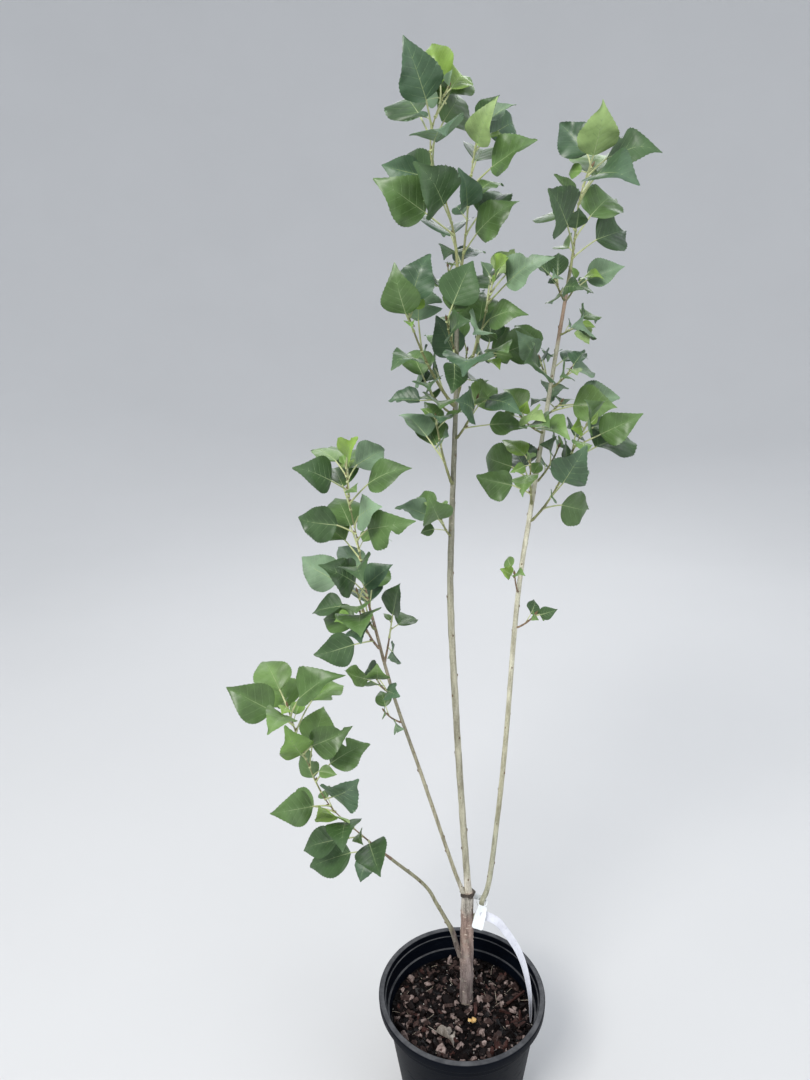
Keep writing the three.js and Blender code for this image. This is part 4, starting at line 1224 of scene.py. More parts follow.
def half_breadth(u):
    """The outline's half breadth, its corners rounded by averaging near places."""
    near = np.asarray(u)[..., None] + np.linspace(-CORNER_EASE, CORNER_EASE, 7)
    spread = np.interp(np.clip(near, 0, 1), *zip(*OUTLINE)).mean(-1)
    ends = np.interp(u, *zip(*OUTLINE))
    blend = np.interp(u, [0, 0.06, 0.9, 1], [0, 1, 1, 0])
    return spread * blend + ends * (1 - blend)


def reach_of(leaves, u, side):
    """How far blades reach at u on a side (-1 or 1): the outline by the leaf's own breadth on
    that side, less a bell-shaped bite where the leaf has one."""
    breadth, lopsided, bite, bite_at, bite_side, bite_length = (
        leaves[key][:, None, None]
        for key in ("breadth", "lopsided", "bite", "bite_at", "bite_side", "bite_length")
    )
    bitten = bite * (side == bite_side) * np.exp(-(((u - bite_at) / bite_length) ** 2))
    return half_breadth(u) * breadth * (1 + lopsided * side) * (1 - bitten)


def blade_surface(leaves, u, v):
    """Places on blades, u from foot to tip and v across, both in leaf lengths.

    place = foot + size (axis u + across v + normal lift), where lift = fold (sqrt(v^2 + r^2)
    - r) - curl u^2 - bend (u - BEND_FROM)^2 past that place - a droop that grows towards the
    margin + a wave that does too + twist u v - low hollows along the side veins.
    """
    half = np.maximum(half_breadth(u), 0.02)
    edge = np.clip(np.abs(v) / half, 0, 1)
    fold, curl, bend, phase, twist, ruffle = (
        leaves[key][:, None, None] for key in ("fold", "curl", "bend", "phase", "twist", "ruffle")
    )
    lift = fold * (np.sqrt(v * v + MIDRIB_ROUND**2) - MIDRIB_ROUND) - curl * u * u
    droop = MARGIN_DROOP * edge**3 * half / WIDEST
    lift = lift - bend * np.maximum(u - BEND_FROM, 0) ** 2 - droop
    wave = np.sin(8 * u + phase + 1.7 * np.sign(v)) + 0.5 * np.sin(19 * u + 2 * phase)
    lift = lift + ruffle * edge**2 * wave + twist * u * v
    hollow = np.cos(2 * np.pi * (u - VEIN_FIRST - VEIN_RISE * np.abs(v)) / VEIN_SPACING)
    hollow = hollow * np.minimum(np.abs(v) / 0.06, 1) * np.minimum(half / 0.2, 1)
    lift = lift - QUILT * hollow * (1 - edge**4)
    size = leaves["size"][:, None, None, None]
    way = {key: leaves[key][:, None, None, :] for key in ("foot", "axis", "across", "normal")}
    flat = way["axis"] * u[..., None] + way["across"] * v[..., None]
    return way["foot"] + size * (flat + way["normal"] * lift[..., None])


def blade_rings(leaves, stations):
    """Closed two-sided blades: a ring for each station, over the upper side from one margin to
    the other and back under it. Every second station is a notch between two teeth. Each
    corner's place on the blade comes back too, and whether each face is on the upper side."""
    u = np.linspace(0.006, 0.994, stations)[:, None]
    notch = (np.arange(stations)[:, None] % 2 == 1) & (u > TOOTHED[0]) & (u < TOOTHED[1])
    over = np.concatenate([LANES, [0.0], -LANES[::-1]])
    lanes = np.concatenate([over, over[-2:0:-1]])
    lean = TOOTH_LEAN * ~notch * (np.abs(lanes) == 1) * (u > TOOTHED[0])
    shape = (len(leaves["size"]), stations, len(lanes))
    reach = reach_of(leaves, np.broadcast_to(u, shape), np.where(lanes < 0, -1, 1))
    v = reach * (1 - TOOTH_DEPTH * notch) * lanes
    top_count = len(over)
    sink = np.zeros(len(lanes))
    sink[1:top_count - 1] = 0.5
    sink[top_count:] = -0.5
    places = blade_surface(leaves, np.broadcast_to(u + lean, shape), v)
    rings = places + BLADE_THICKNESS * sink[:, None] * leaves["normal"][:, None, None, :]
    uv = np.stack([np.broadcast_to(u, shape), v + 0.5], axis=-1).reshape(shape[0], -1, 2)
    poles = np.broadcast_to([[0, 0.5], [1, 0.5]], (shape[0], 2, 2))
    uv = np.concatenate([uv, poles], axis=1).reshape(-1, 2)
    wall = np.tile(np.repeat(np.arange(len(lanes)) < top_count - 1, 2), stations - 1)
    upper = np.concatenate([wall, np.tile(np.arange(len(lanes)) < top_count - 1, 2)])
    return rings, uv, np.tile(upper, shape[0])


def vein_rings(leaves):
    """Midribs and side veins as slim diamonds that stand out of both sides of the blade.

    Side vein j leaves the midrib at VEIN_FIRST + j VEIN_SPACING and rises by VEIN_RISE for
    each leaf length that it goes outwards.
    """
    s = np.linspace(0, 1, RIB_ROWS)
    shape = (len(leaves["size"]), 1, len(s))
    u = np.broadcast_to(0.01 + 0.93 * s, shape)
    rib = blade_surface(leaves, u, np.zeros(shape))[:, 0]
    thick = MIDRIB_RADIUS * (1.12 - s)
    ribs = diamonds(rib, leaves["normal"], np.broadcast_to(thick, rib.shape[:2]))
    s = np.linspace(0, 1, VEIN_ROWS)
    shape = (shape[0], VEIN_PAIRS, len(s))
    first = VEIN_FIRST + VEIN_SPACING * np.arange(VEIN_PAIRS)[:, None]
    sides = []
    for side in (-1, 1):
        reach = reach_of(leaves, np.broadcast_to(np.minimum(first + 0.18, 0.9), shape), side)
        v = side * VEIN_REACH * reach.min(axis=2, keepdims=True) * s
        u = first + VEIN_RISE * np.abs(v)
        paths = blade_surface(leaves, u, v).reshape(-1, len(s), 3)
        normals = np.repeat(leaves["normal"], VEIN_PAIRS, axis=0)
        thick = np.broadcast_to(VEIN_RADIUS * (1.1 - s), paths.shape[:2])
        sides.append(diamonds(paths, normals, thick))
    return ribs, np.concatenate(sides)


def diamonds(paths, normals, radii):
    """Four-sided rings: a little out to each side of a path and a little above and below."""
    ways = unit(np.gradient(paths, axis=-2))
    out = square_to(np.broadcast_to(normals[:, None], ways.shape), ways)
    wide = np.cross(out, ways)
    corner = np.stack([wide, out, -wide, -out], axis=-2)
    height = np.array([1.0, 0.75, 1.0, 0.75])[:, None]
    lifted = radii[..., None, None] * corner * height
    lifted[..., 1, :] += 0.5 * BLADE_THICKNESS * out
    lifted[..., 3, :] -= 0.5 * BLADE_THICKNESS * out
    return paths[..., None, :] + lifted


def stalk_rings(leaves):
    """Petioles: a curve from node by knee to blade, swollen at its foot and narrower at its
    end."""
    s = np.linspace(0, 1, 8)[:, None]
    start = leaves["node"] - 0.4 * leaves["grow"]
    end = leaves["foot"] + 0.02 * leaves["size"][:, None] * leaves["axis"]
    paths = between(start[:, None], leaves["knee"][:, None], end[:, None], s)
    thick = np.interp(leaves["size"], STALK_SIZES, STALK_RADII)[:, None]
    radii = thick * (1 + 0.7 * np.exp(-s[:, 0] / 0.06) - 0.25 * s[:, 0])
    return tubes(paths, radii, STALK_SIDES, STALK_ACROSS)


# The pot

RIM_RADIUS, _, POT_HEIGHT = np.array(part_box("pot")[1]) / MM
RIM_DEPTH = 13.0
FOOT_RADIUS = 80.0
WALL = 2.0
FLOOR_THICK = 2.5
UPPER_BORE = 104.5
MIDDLE_BORE = 102.5
MIDDLE_DRAFT = 1.0
LOWER_BORE = 98.5
UPPER_STEP = POT_HEIGHT - 9
LOWER_STEP = POT_HEIGHT - 28
RIM_DRAFT = 0.6
DRAIN_HOLES = 8
DRAIN_RADIUS = 5.0
DRAIN_SIDES = 24

# How far each corner of the wall is eased, from its foot up the outside and down the inside
CORNER_STEPS = 5
POT_EASES = [4.0, 0.9, 0.9, 0.5, 1.0, 2.6, 2.2, 0.8, 0.6, 0.6, 0.6, 1.5]

# Sides of everything turned about the upright axis, and the radius it closes to there
AROUND = 168
AXIS_PINCH = 0.05


def turned(profile):
    """Rings of a profile of (radius, height) carried round the upright axis."""
    ring = level_ways(turns(AROUND))
    return (profile[:, 0, None, None] * ring + profile[:, 1, None, None] * UP)[None]


def eased(corners, eases):
    """A profile with each inner corner eased: a quadratic curve between the places that lie
    one ease before the corner and one ease after it."""
    corners = np.array(corners, float)
    before, here, after = corners[:-2], corners[1:-1], corners[2:]
    ease = np.array(eases, float)[:, None]
    start, end = here + ease * unit(before - here), here + ease * unit(after - here)
    t = np.linspace(0, 1, CORNER_STEPS)[None, :, None]
    curve = between(start[:, None], here[:, None], end[:, None], t)
    return np.concatenate([corners[:1], curve.reshape(-1, 2), corners[-1:]])


def pot_rings():
    """The pot's wall as one closed profile, up the outside and down the inside."""
    rim_foot = POT_HEIGHT - RIM_DEPTH
    wall_top = MIDDLE_BORE + WALL
    corners = [
        (AXIS_PINCH, 0), (FOOT_RADIUS, 0), (LOWER_BORE + WALL, LOWER_STEP - WALL),
        (wall_top, LOWER_STEP), (wall_top + RIM_DRAFT, rim_foot), (RIM_RADIUS - RIM_DRAFT, rim_foot),
        (RIM_RADIUS, POT_HEIGHT), (UPPER_BORE, POT_HEIGHT), (UPPER_BORE, UPPER_STEP),
        (MIDDLE_BORE, UPPER_STEP), (MIDDLE_BORE - MIDDLE_DRAFT, LOWER_STEP),
        (LOWER_BORE, LOWER_STEP), (FOOT_RADIUS - WALL, FLOOR_THICK), (AXIS_PINCH, FLOOR_THICK),
    ]
    return turned(eased(corners, POT_EASES))


def drill(piece):
    """Takes a ring of round holes out of the pot's floor."""
    turn = (np.arange(DRAIN_HOLES) + 0.5) / DRAIN_HOLES * 2 * np.pi
    feet = (FOOT_RADIUS - 2 * DRAIN_RADIUS) * level_ways(turn)
    heights = np.linspace(-2 * FLOOR_THICK, 2 * FLOOR_THICK, 3)
    paths = feet[:, None] + heights[:, None] * UP
    corners, faces = skin(tubes(paths, np.full(len(heights), DRAIN_RADIUS), DRAIN_SIDES))
    cutter = in_scene("drill", mesh_of("drill", corners, faces))
    cutting = piece.modifiers.new("drain_holes", "BOOLEAN")
    cutting.object = cutter
    cutting.solver = "EXACT"
    seen = piece.evaluated_get(bpy.context.evaluated_depsgraph_get())
    drilled = bpy.data.meshes.new_from_object(seen)
    piece.modifiers.clear()
    piece.data = drilled
    bpy.data.objects.remove(cutter)


# The compost

SOIL_SLOPE = (LOWER_BORE - FOOT_RADIUS + WALL) / (LOWER_STEP - FLOOR_THICK)
SOIL_RADIUS = FOOT_RADIUS - WALL - 0.4 + SOIL_SLOPE * (SOIL_LEVEL - FLOOR_THICK)
SOIL_RINGS = 74

# The soil's height: its waves, how far it lies below its level, and its fall to the wall
SOIL_SEED = 5
SOIL_WAVES = 10
SOIL_WAVE_LENGTHS = (2.2, 12.0)
SOIL_RISE = 0.55
SOIL_DROP = 1.5
WALL_FALL = 1.5
FALL_FROM = 80
FALL_WIDTH = 16

# How bits are formed: sides, thickness as a part of the length, and tilt
CHIP = (6, (0.15, 0.40), 0.55)
CRUMB = (5, (0.4, 0.9), 0.8)
GRIT_GRAIN = (6, (0.6, 0.9), 0.8)

# A bit's three rings and its breadth: how far each ring reaches, where it lies in the
# thickness, and how turn, reach and height of a corner stray
RING_REACH = np.array([0.90, 1.0, 0.84])[:, None]
RING_LEVEL = np.array([-0.5, 0.05, 0.5])[:, None]
TURN_STRAY = 0.35
CORNER_REACH = (0.62, 1.15)
REACH_STRAY = (0.88, 1.06)
LEVEL_STRAY = (0.8, 1.1)
BIT_BREADTH = (0.32, 0.85)

# How many bits there are, how long they are, how high they lie, and their shares by tint.
# Chip lengths have a bell-shaped logarithm, and a chip's height is a part of its length.
COMPOST_SEED = 21
CHIPS = 1000
CHIP_LOG_LENGTH = (2.30, 0.37)
CHIP_LENGTHS = (4, 21)
CHIP_LIFT = (-0.15, 0.22)
CHIP_SHARES = {"dark": 0.45, "brown": 0.31, "red": 0.06, "grey": 0.18}
CRUMBS = 2000
CRUMB_LENGTHS = (1.0, 3.2)
CRUMB_LIFT = 0.6
CRUMB_SHARES = {"dark": 0.85, "brown": 0.15}
GRIT = 60
GRIT_LENGTHS = (1.0, 2.6)
GRIT_LIFT = 1.6

# Fibres: the room each needs, how it rises and bows, and its form
FIBRES = 34
FIBRE_ROOM = 8.0
FIBRE_LIFT = 1.5
FIBRE_RISE = (-0.1, 0.35)
FIBRE_BOW = 0.25
FIBRE_LENGTHS = (5, 17)
FIBRE_ROWS = 6
FIBRE_RADIUS = 0.28
FIBRE_SIDES = 5
FIBRE_ACROSS = np.array([0.1, 0.2, 1.0])


def soil_height(x, y):
    """The compost's surface: its level, a sum of low waves, and a slight fall to the wall."""
    rng = np.random.default_rng(SOIL_SEED)
    height = np.full(np.shape(x), SOIL_LEVEL - SOIL_DROP)
    for _ in range(SOIL_WAVES):
        way = rng.uniform(0, np.pi)
        length = rng.uniform(*SOIL_WAVE_LENGTHS)
        phase = rng.uniform(0, 2 * np.pi)
        height = height + SOIL_RISE * np.sin((x * np.cos(way) + y * np.sin(way)) / length + phase)
    return height - WALL_FALL * smooth_steps((np.hypot(x, y) - FALL_FROM) / FALL_WIDTH)


def soil_rings():
    """The filling: a tapered plug whose top rings follow the soil's height."""
    below = [
        (AXIS_PINCH, FLOOR_THICK + GAP), (FOOT_RADIUS - WALL - 0.6, FLOOR_THICK + GAP),
        (SOIL_RADIUS, SOIL_LEVEL - 3),
    ]
    inner = np.linspace(SOIL_RADIUS - 0.5, AXIS_PINCH, SOIL_RINGS)
    level = np.stack([inner, np.full(SOIL_RINGS, SOIL_LEVEL)], axis=-1)
    rings = turned(np.concatenate([below, level]))
    top = rings[0, len(below):]
    top[..., 2] = soil_height(top[..., 0], top[..., 1])
    return rings


def scattered(rng, count, longest):
    """Places on the compost, even over its area, clear of the trunk."""
    reach = (SOIL_RADIUS - 0.45 * longest) * np.sqrt(rng.uniform(0, 1, count))
    turn = rng.uniform(0, 2 * np.pi, count)
    x, y = reach * np.cos(turn), reach * np.sin(turn)
    off = np.hypot(x - TRUNK_FOOT[0], y - TRUNK_FOOT[1])
    push = np.maximum(TRUNK_FOOT_RADIUS + 1.5 + 0.4 * longest - off, 0) / np.maximum(off, 1)
    x, y = x + (x - TRUNK_FOOT[0]) * push, y + (y - TRUNK_FOOT[1]) * push
    return np.stack([x, y, soil_height(x, y)], axis=-1)


def chip_rings(rng, places, lengths, sides, flatness, tilt):
    """Split bits of bark or stone: three rough rings of straying corners, longer than wide,
    each turned about the upright and tipped a little."""
    count = len(places)
    heading = rng.uniform(0, 2 * np.pi, count)
    long_way = unit(level_ways(heading) + UP * (tilt * rng.normal(0, 1, (count, 1))))
    thick_way = square_to(UP + tilt * rng.normal(0, 1, (count, 3)), long_way)
    wide_way = np.cross(thick_way, long_way)
    turn = turns(sides) + rng.uniform(-TURN_STRAY, TURN_STRAY, (count, 1, sides))
    spread = rng.uniform(*CORNER_REACH, (count, 1, sides))
    spread = spread * rng.uniform(*REACH_STRAY, (count, 3, sides)) * RING_REACH
    half = 0.5 * lengths[:, None, None]
    wide = half * rng.uniform(*BIT_BREADTH, (count, 1, 1))
    thick = lengths[:, None, None] * rng.uniform(*flatness, (count, 1, 1))
    level = RING_LEVEL * thick * rng.uniform(*LEVEL_STRAY, (count, 3, sides))
    flat = (half * spread * np.cos(turn))[..., None] * long_way[:, None, None]
    flat = flat + (wide * spread * np.sin(turn))[..., None] * wide_way[:, None, None]
    return places[:, None, None] + flat + level[..., None] * thick_way[:, None, None]


def add_by_tint(kind, rings, tints, shares, finishes):
    """Bits of bark, as one piece for each tint that they have a share of."""
    for number, tint in enumerate(shares):
        shapes = skin(rings[tints == number])
        add_piece(f"bark_{kind}_{tint}", *shapes, [finishes[f"chip_{tint}"]], "compost", flat=True)


def add_compost(finishes):
    """The filling, its chips and crumbs by tint, pale grit and fibres."""
    rng = np.random.default_rng(COMPOST_SEED)
    corners, faces = skin(soil_rings())
    # the near-black bed is partly painted shade in the gaps between the chips
    add_piece("compost_bed", corners, faces, [finishes["soil"]], "compost", replaces=["compost"])
    lengths = np.clip(rng.lognormal(*CHIP_LOG_LENGTH, CHIPS), *CHIP_LENGTHS)
    places = scattered(rng, CHIPS, lengths)
    places[:, 2] += rng.uniform(*CHIP_LIFT, CHIPS) * lengths
    tints = rng.choice(len(CHIP_SHARES), CHIPS, p=list(CHIP_SHARES.values()))
    rings = chip_rings(rng, places, lengths, *CHIP)
    add_by_tint("chips", rings, tints, CHIP_SHARES, finishes)
    lengths = rng.uniform(*CRUMB_LENGTHS, CRUMBS)
    places = scattered(rng, CRUMBS, lengths) + UP * CRUMB_LIFT
    rings = chip_rings(rng, places, lengths, *CRUMB)
    tints = rng.choice(len(CRUMB_SHARES), CRUMBS, p=list(CRUMB_SHARES.values()))
    add_by_tint("crumbs", rings, tints, CRUMB_SHARES, finishes)
    lengths = rng.uniform(*GRIT_LENGTHS, GRIT)
    places = scattered(rng, GRIT, lengths) + UP * GRIT_LIFT
    rings = chip_rings(rng, places, lengths, *GRIT_GRAIN)
    add_piece("grit", *skin(rings), [finishes["grit"]], "compost", flat=True)
    start = scattered(rng, FIBRES, np.full(FIBRES, FIBRE_ROOM)) + UP * FIBRE_LIFT
    heading = rng.uniform(0, 2 * np.pi, FIBRES)
    way = level_ways(heading) + UP * rng.uniform(*FIBRE_RISE, (FIBRES, 1))
    bow = np.cross(way, UP) * rng.uniform(-FIBRE_BOW, FIBRE_BOW, (FIBRES, 1))
    s = np.linspace(0, 1, FIBRE_ROWS)[:, None]
    reach = rng.uniform(*FIBRE_LENGTHS, (FIBRES, 1, 1))
    paths = start[:, None] + reach * (s * way[:, None] + s * (1 - s) * bow[:, None])
    inside = np.linalg.norm(paths[..., :2], axis=-1).max(axis=1) < SOIL_RADIUS + 1
    radii = np.full(FIBRE_ROWS, FIBRE_RADIUS)
    rings = tubes(paths[inside], radii, FIBRE_SIDES, FIBRE_ACROSS)
    add_piece("fibres", *skin(rings), [finishes["straw"]], "compost")


# Litter on the compost: a dry leaf with its stalk, a bright chip, a red stick and a dry
# stalk. A place is x, y and how far it is above the compost.
DRY_LEAF_FOOT = (-36.5, -33.6, 4.5)
DRY_LEAF_TIP = (-11.3, -54.9, 4.0)
DRY_STALK_END = (-49.5, -22.7, 3.0)
DRY_STALK_BOW = UP * 2.5
DRY_STALK_RADIUS = 0.55
DRY_LEAF_TILT = np.array([0.55, 0.35, 0.0])
DRY_LEAF_SHAPE = {
    "fold": 1.5, "curl": -0.15, "bend": 1.6, "phase": 0.6, "twist": -1.3, "breadth": 0.66,
    "lopsided": 0.30, "bite": 0.55, "bite_at": 0.66, "bite_side": -1, "bite_length": 0.10,
    "ruffle": 0.16,
}
LITTER_SEED = 4
BRIGHT_CHIP = (12.9, -16.7, 3.0)
BRIGHT_CHIP_SPREAD = 3.2
BRIGHT_CHIP_LENGTHS = np.array([10.5, 8.5, 6.5])
RED_STICK = [(60.0, 6.5, 2.2), (90.0, 26.0, 9.0)]
RED_STICK_BOW = np.array([1.5, -1.5, 2.0])
RED_STICK_RADIUS = 2.3
RED_STICK_TAPER = 0.9
UPRIGHT_STALK = (47.0, 60.0, -2.0)
UPRIGHT_STALK_HEIGHT = 17.0
UPRIGHT_STALK_LEAN = np.array([2.0, 1.0, 0])
UPRIGHT_STALK_RADIUS = 0.6
UPRIGHT_STALK_TAPER = 0.25
LITTER_ROWS = 7


def on_soil(place):
    """A place of the litter, its height taken from the compost under it."""
    x, y, lift = place
    return np.array([x, y, float(soil_height(x, y)) + lift])


def bowed(start, end, bow, s):
    """The line from start to end, out by bow s (1 - s)."""
    return start + s * (end - start) + bow * s * (1 - s)


def add_litter(finishes):
    """The loose bits that lie on the compost."""
    foot, tip = on_soil(DRY_LEAF_FOOT), on_soil(DRY_LEAF_TIP)
    axis = unit(tip - foot)
    normal = square_to(UP + DRY_LEAF_TILT, axis)
    leaf = {
        "foot": foot[None], "axis": axis[None], "normal": normal[None],
        "across": np.cross(normal, axis)[None], "size": np.array([np.linalg.norm(tip - foot)]),
        **{key: np.array([value]) for key, value in DRY_LEAF_SHAPE.items()},
    }
    rings = blade_rings(leaf, LEAF_STATIONS)[0]
    s = np.linspace(0, 1, LITTER_ROWS)[:, None]
    stalk = bowed(on_soil(DRY_STALK_END), foot, DRY_STALK_BOW, s)
    radii = np.full(LITTER_ROWS, DRY_STALK_RADIUS)
    parts = [skin(rings), skin(tubes(stalk[None], radii, 6, UP))]
    add_piece("dry_leaf", *join(parts), [finishes["withered"]], "compost")
    rng = np.random.default_rng(LITTER_SEED)
    spread = rng.uniform(-BRIGHT_CHIP_SPREAD, BRIGHT_CHIP_SPREAD, (3, 3)) * [1, 1, 0.3]
    rings = chip_rings(rng, on_soil(BRIGHT_CHIP) + spread, BRIGHT_CHIP_LENGTHS, *CHIP)
    add_piece("bright_chip", *skin(rings), [finishes["amber"]], "compost", flat=True)
    stick = bowed(on_soil(RED_STICK[0]), on_soil(RED_STICK[1]), RED_STICK_BOW, s)
    shapes = skin(tubes(stick[None], RED_STICK_RADIUS - RED_STICK_TAPER * s[:, 0], 7))
    add_piece("red_stick", *shapes, [finishes["chip_red"]], "compost")
    foot = on_soil(UPRIGHT_STALK)
    upright = foot + s * UPRIGHT_STALK_HEIGHT * UP + UPRIGHT_STALK_LEAN * s * s
    shapes = skin(tubes(upright[None], UPRIGHT_STALK_RADIUS - UPRIGHT_STALK_TAPER * s[:, 0], 6))
    add_piece("dry_stalk", *shapes, [finishes["straw"]], "compost")


# The label

LABEL_THICKNESS = 0.8
PLATE_LANES = np.array([0.96, 0.72, 0.4, 0.0, -0.4, -0.72, -0.96])
ENDS_PART = 0.78

# The strip: the places it passes, its widths, and where and how far its tip closes
STRIP_PATH = [
    (25, -1.4, 302.5), (32, 3, 300), (48, 2, 290.5), (61.5, -0.5, 272), (73.5, -4, 252),
    (82, -7.5, 230), (88, -11.5, 203.5), (91.4, -15, 176.5), (92.4, -18.5, 140.5),
]
STRIP_WIDTH = 11.0
STRIP_TIP_WIDTH = 4.0
STRIP_ROWS = 90
STRIP_DISH = 1.1
STRIP_TIP_FROM = 0.94
STRIP_TIP_PART = 0.06
STRIP_TIP_CUT = 0.55
ACROSS_HEAD = np.array([0.41, 0.61, 0.67])
ACROSS_TIP = np.array([0.70, 0.70, 0.0])

# The head plate, the loop's loose tab and the loop. A plate's ends are the part of its length
# over which they are rounded.
HEAD_TOP = np.array([29.0, 6.8, 312.6])
HEAD_FOOT = np.array([19.6, -10.0, 291.2])
HEAD_ACROSS = np.array([0.92, -0.2, -0.32])
HEAD_WIDTH = 15.0
HEAD_NARROWING = 0.8
HEAD_THICKNESS = 1.2
HEAD_ROWS = 26
HEAD_DISH = 0.9
HEAD_ENDS = 0.09
TAB_FOOT = np.array([29.5, 18.8, 315.6])
TAB_END = np.array([18.8, 17.0, 320.0])
TAB_ACROSS = np.array([0.3, 0.0, 0.95])
TAB_WIDTH = 9.0
TAB_ROWS = 14
TAB_DISH = 0.4
TAB_ENDS = 0.14
LOOP_CENTRE = np.array([28.3, 13.0, 313.0])
LOOP_AXIS = np.array([0.24, -0.4, 0.9])
LOOP_RADIUS = 5.8
LOOP_WIDTH = 4.0
LOOP_THICKNESS = 1.2
LOOP_ROWS = 56


def plate_rings(paths, acrosses, widths, thickness, dish):
    """A thin plate along a path: each ring is a flat rounded oblong, out along the across way
    by half the width times a lane and dished by dish (1 - lane^2) along the face way."""
    ways = unit(np.gradient(paths, axis=0))
    across = square_to(acrosses, ways)
    face = np.cross(ways, across)
    over = np.stack([PLATE_LANES, np.full(len(PLATE_LANES), 0.5)], axis=-1)
    under = np.stack([PLATE_LANES[::-1], np.full(len(PLATE_LANES), -0.5)], axis=-1)
    corner = np.concatenate([over, [[-1.0, 0.0]], under, [[1.0, 0.0]]])
    wide = 0.5 * widths[:, None, None] * corner[:, 0, None] * across[:, None]
    hollow = -dish * (widths / widths.max())[:, None] * (1 - corner[:, 0] ** 2)
    lift = (thickness * corner[:, 1] + hollow)[..., None] * face[:, None]
    return (paths[:, None] + wide + lift)[None]


def flat_plate(foot, end, across, width_at, rows, dish):
    """A straight plate from a foot to an end, width_at giving its width at each part."""
    t = np.linspace(0, 1, rows)
    path = foot + t[:, None] * (end - foot)
    return plate_rings(path, np.broadcast_to(across, path.shape), width_at(t), HEAD_THICKNESS, dish)


def round_ends(t, ends):
    """Widths that close like a quarter circle within a part of either end, down to
    ENDS_PART."""
    near = np.minimum(np.minimum(t, 1 - t) / ends, 1)
    return ENDS_PART + (1 - ENDS_PART) * np.sqrt(1 - (1 - near) ** 2)


def head_width(t):
    """The head plate is narrower where its loop starts."""
    widening = HEAD_NARROWING + (1 - HEAD_NARROWING) * smooth_steps(2 * t)
    return HEAD_WIDTH * widening * round_ends(t, HEAD_ENDS)


def tab_width(t):
    """The tab keeps its width up to its rounded end."""
    return TAB_WIDTH * round_ends(t, TAB_ENDS)


def add_label(finishes):
    """The plant label: a head plate, a loop round the right stem, the loop's loose tab and an
    arching strip."""
    t = np.linspace(0, 1, STRIP_ROWS)
    path = stem_places((STRIP_PATH, None), t)
    acrosses = ACROSS_HEAD + t[:, None] * (ACROSS_TIP - ACROSS_HEAD)
    widths = STRIP_WIDTH + (STRIP_TIP_WIDTH - STRIP_WIDTH) * t**5
    closing = smooth_steps((t - STRIP_TIP_FROM) / STRIP_TIP_PART)
    widths = widths * (1 - STRIP_TIP_CUT * closing**2)
    strip = plate_rings(path, acrosses, widths, LABEL_THICKNESS, STRIP_DISH)
    head = flat_plate(HEAD_TOP, HEAD_FOOT, HEAD_ACROSS, head_width, HEAD_ROWS, HEAD_DISH)
    tab = flat_plate(TAB_FOOT, TAB_END, TAB_ACROSS, tab_width, TAB_ROWS, TAB_DISH)
    turn = np.linspace(0, 2 * np.pi, LOOP_ROWS)
    first = square_to(np.array([1.0, 0.2, 0.0]), unit(LOOP_AXIS))
    second = np.cross(unit(LOOP_AXIS), first)
    middle = LOOP_RADIUS + LOOP_THICKNESS / 2
    ring = LOOP_CENTRE + middle * (np.cos(turn)[:, None] * first + np.sin(turn)[:, None] * second)
    widths = np.full(LOOP_ROWS, LOOP_WIDTH)
    band = plate_rings(ring, np.broadcast_to(LOOP_AXIS, ring.shape), widths, LOOP_THICKNESS, 0.0)
    band[0, -1] = band[0, 0]
    parts = [skin(rings) for rings in (strip, head, tab, band)]
    strip_faces = len(parts[0][1])
    corners, faces = join(parts)
    add_piece(
        "plant_label", corners, faces, [finishes["label"], finishes["strip"]], "label_plastic",
        replaces=["label"], finish_of_face=np.arange(len(faces)) < strip_faces,
    )


# The plant

# Sprays by tint, and how many leaves at a spray's tip are still young
FRESH_SPRAYS = {"low_leader_upper", "low_leader_top"}
MID_SPRAYS = {
    "middle_right_top", "left_leader_top", "right_leader_top", "middle_high_top",
    "low_leader_mid", "middle_left_top", "middle_left_low", "middle_left_high", "middle_left_mid",
    "middle_right_low", "middle_right_spur", "right_left_low", "right_left_mid",
    "right_long_top", "left_leader_mid", "left_spur_low", "left_spur_high",
    "right_small_left", "right_small_right", "left_small",
}
YOUNG_TIPS = {
    "middle_left_top": 2, "middle_right_top": 1, "middle_high_top": 1, "right_leader_top": 1,
    "left_leader_top": 1, "low_leader_foot": 1, "right_left_mid": 1,
    "right_left_low": 1, "right_small_left": 1,
}

# Leaves that show plainly in the photo, by spray and number, with the tint they have there
SEEN_TINTS = {
    # blue here stands partly for a painted sky reflection on these leaves
    ("middle_left_top", 3): "blue",
    ("middle_right_top", 2): "young",
    ("middle_right_top", 5): "mid",
    ("middle_left_low", 1): "mid",
    ("middle_left_high", 2): "deep",
    ("middle_left_high", 4): "mid",
    ("middle_left_mid", 4): "mid",
    ("middle_high_top", 3): "young",
    ("right_leader_top", 2): "young",
    ("right_leader_top", 4): "blue",
    ("right_long_top", 2): "mid",
    ("right_low_spur", 0): "light",
    ("right_left_low", 0): "mid",
    ("left_leader_top", 1): "mid",
}
# Blue is a bluish green: partly the leaves' own bloom, partly a painted sky reflection
TINTS = ("deep", "blue", "mid", "light", "fresh", "young")

# How a spray's leaves are dealt out among near tints
DEALT = {
    "deep": {"deep": 0.42, "blue": 0.26, "mid": 0.32},
    "mid": {"deep": 0.20, "blue": 0.20, "mid": 0.36, "light": 0.24},
    "fresh": {"mid": 0.22, "light": 0.36, "fresh": 0.42},
    "tip": {"light": 0.40, "fresh": 0.40, "young": 0.20},
}

# Sprays whose twigs are already brown, and those whose twigs are still pale
BROWN_TWIGS = {
    "low_leader_foot", "low_leader_mid", "left_leader_low", "left_spur_low", "left_spur_mid",
    "left_small", "left_back", "right_small_left", "right_small_right",
}
PALE_TWIGS = {
    "middle_left_low", "middle_left_top", "middle_right_low", "middle_right_top",
    "right_leader_low", "right_leader_top",
}
TWIG_SLIMMING = 0.88

# Share of leaves seen from below, at a low and a high place
TURNED_HEIGHTS = (450, 1050)
TURNED_SHARES = (0.06, 0.22)

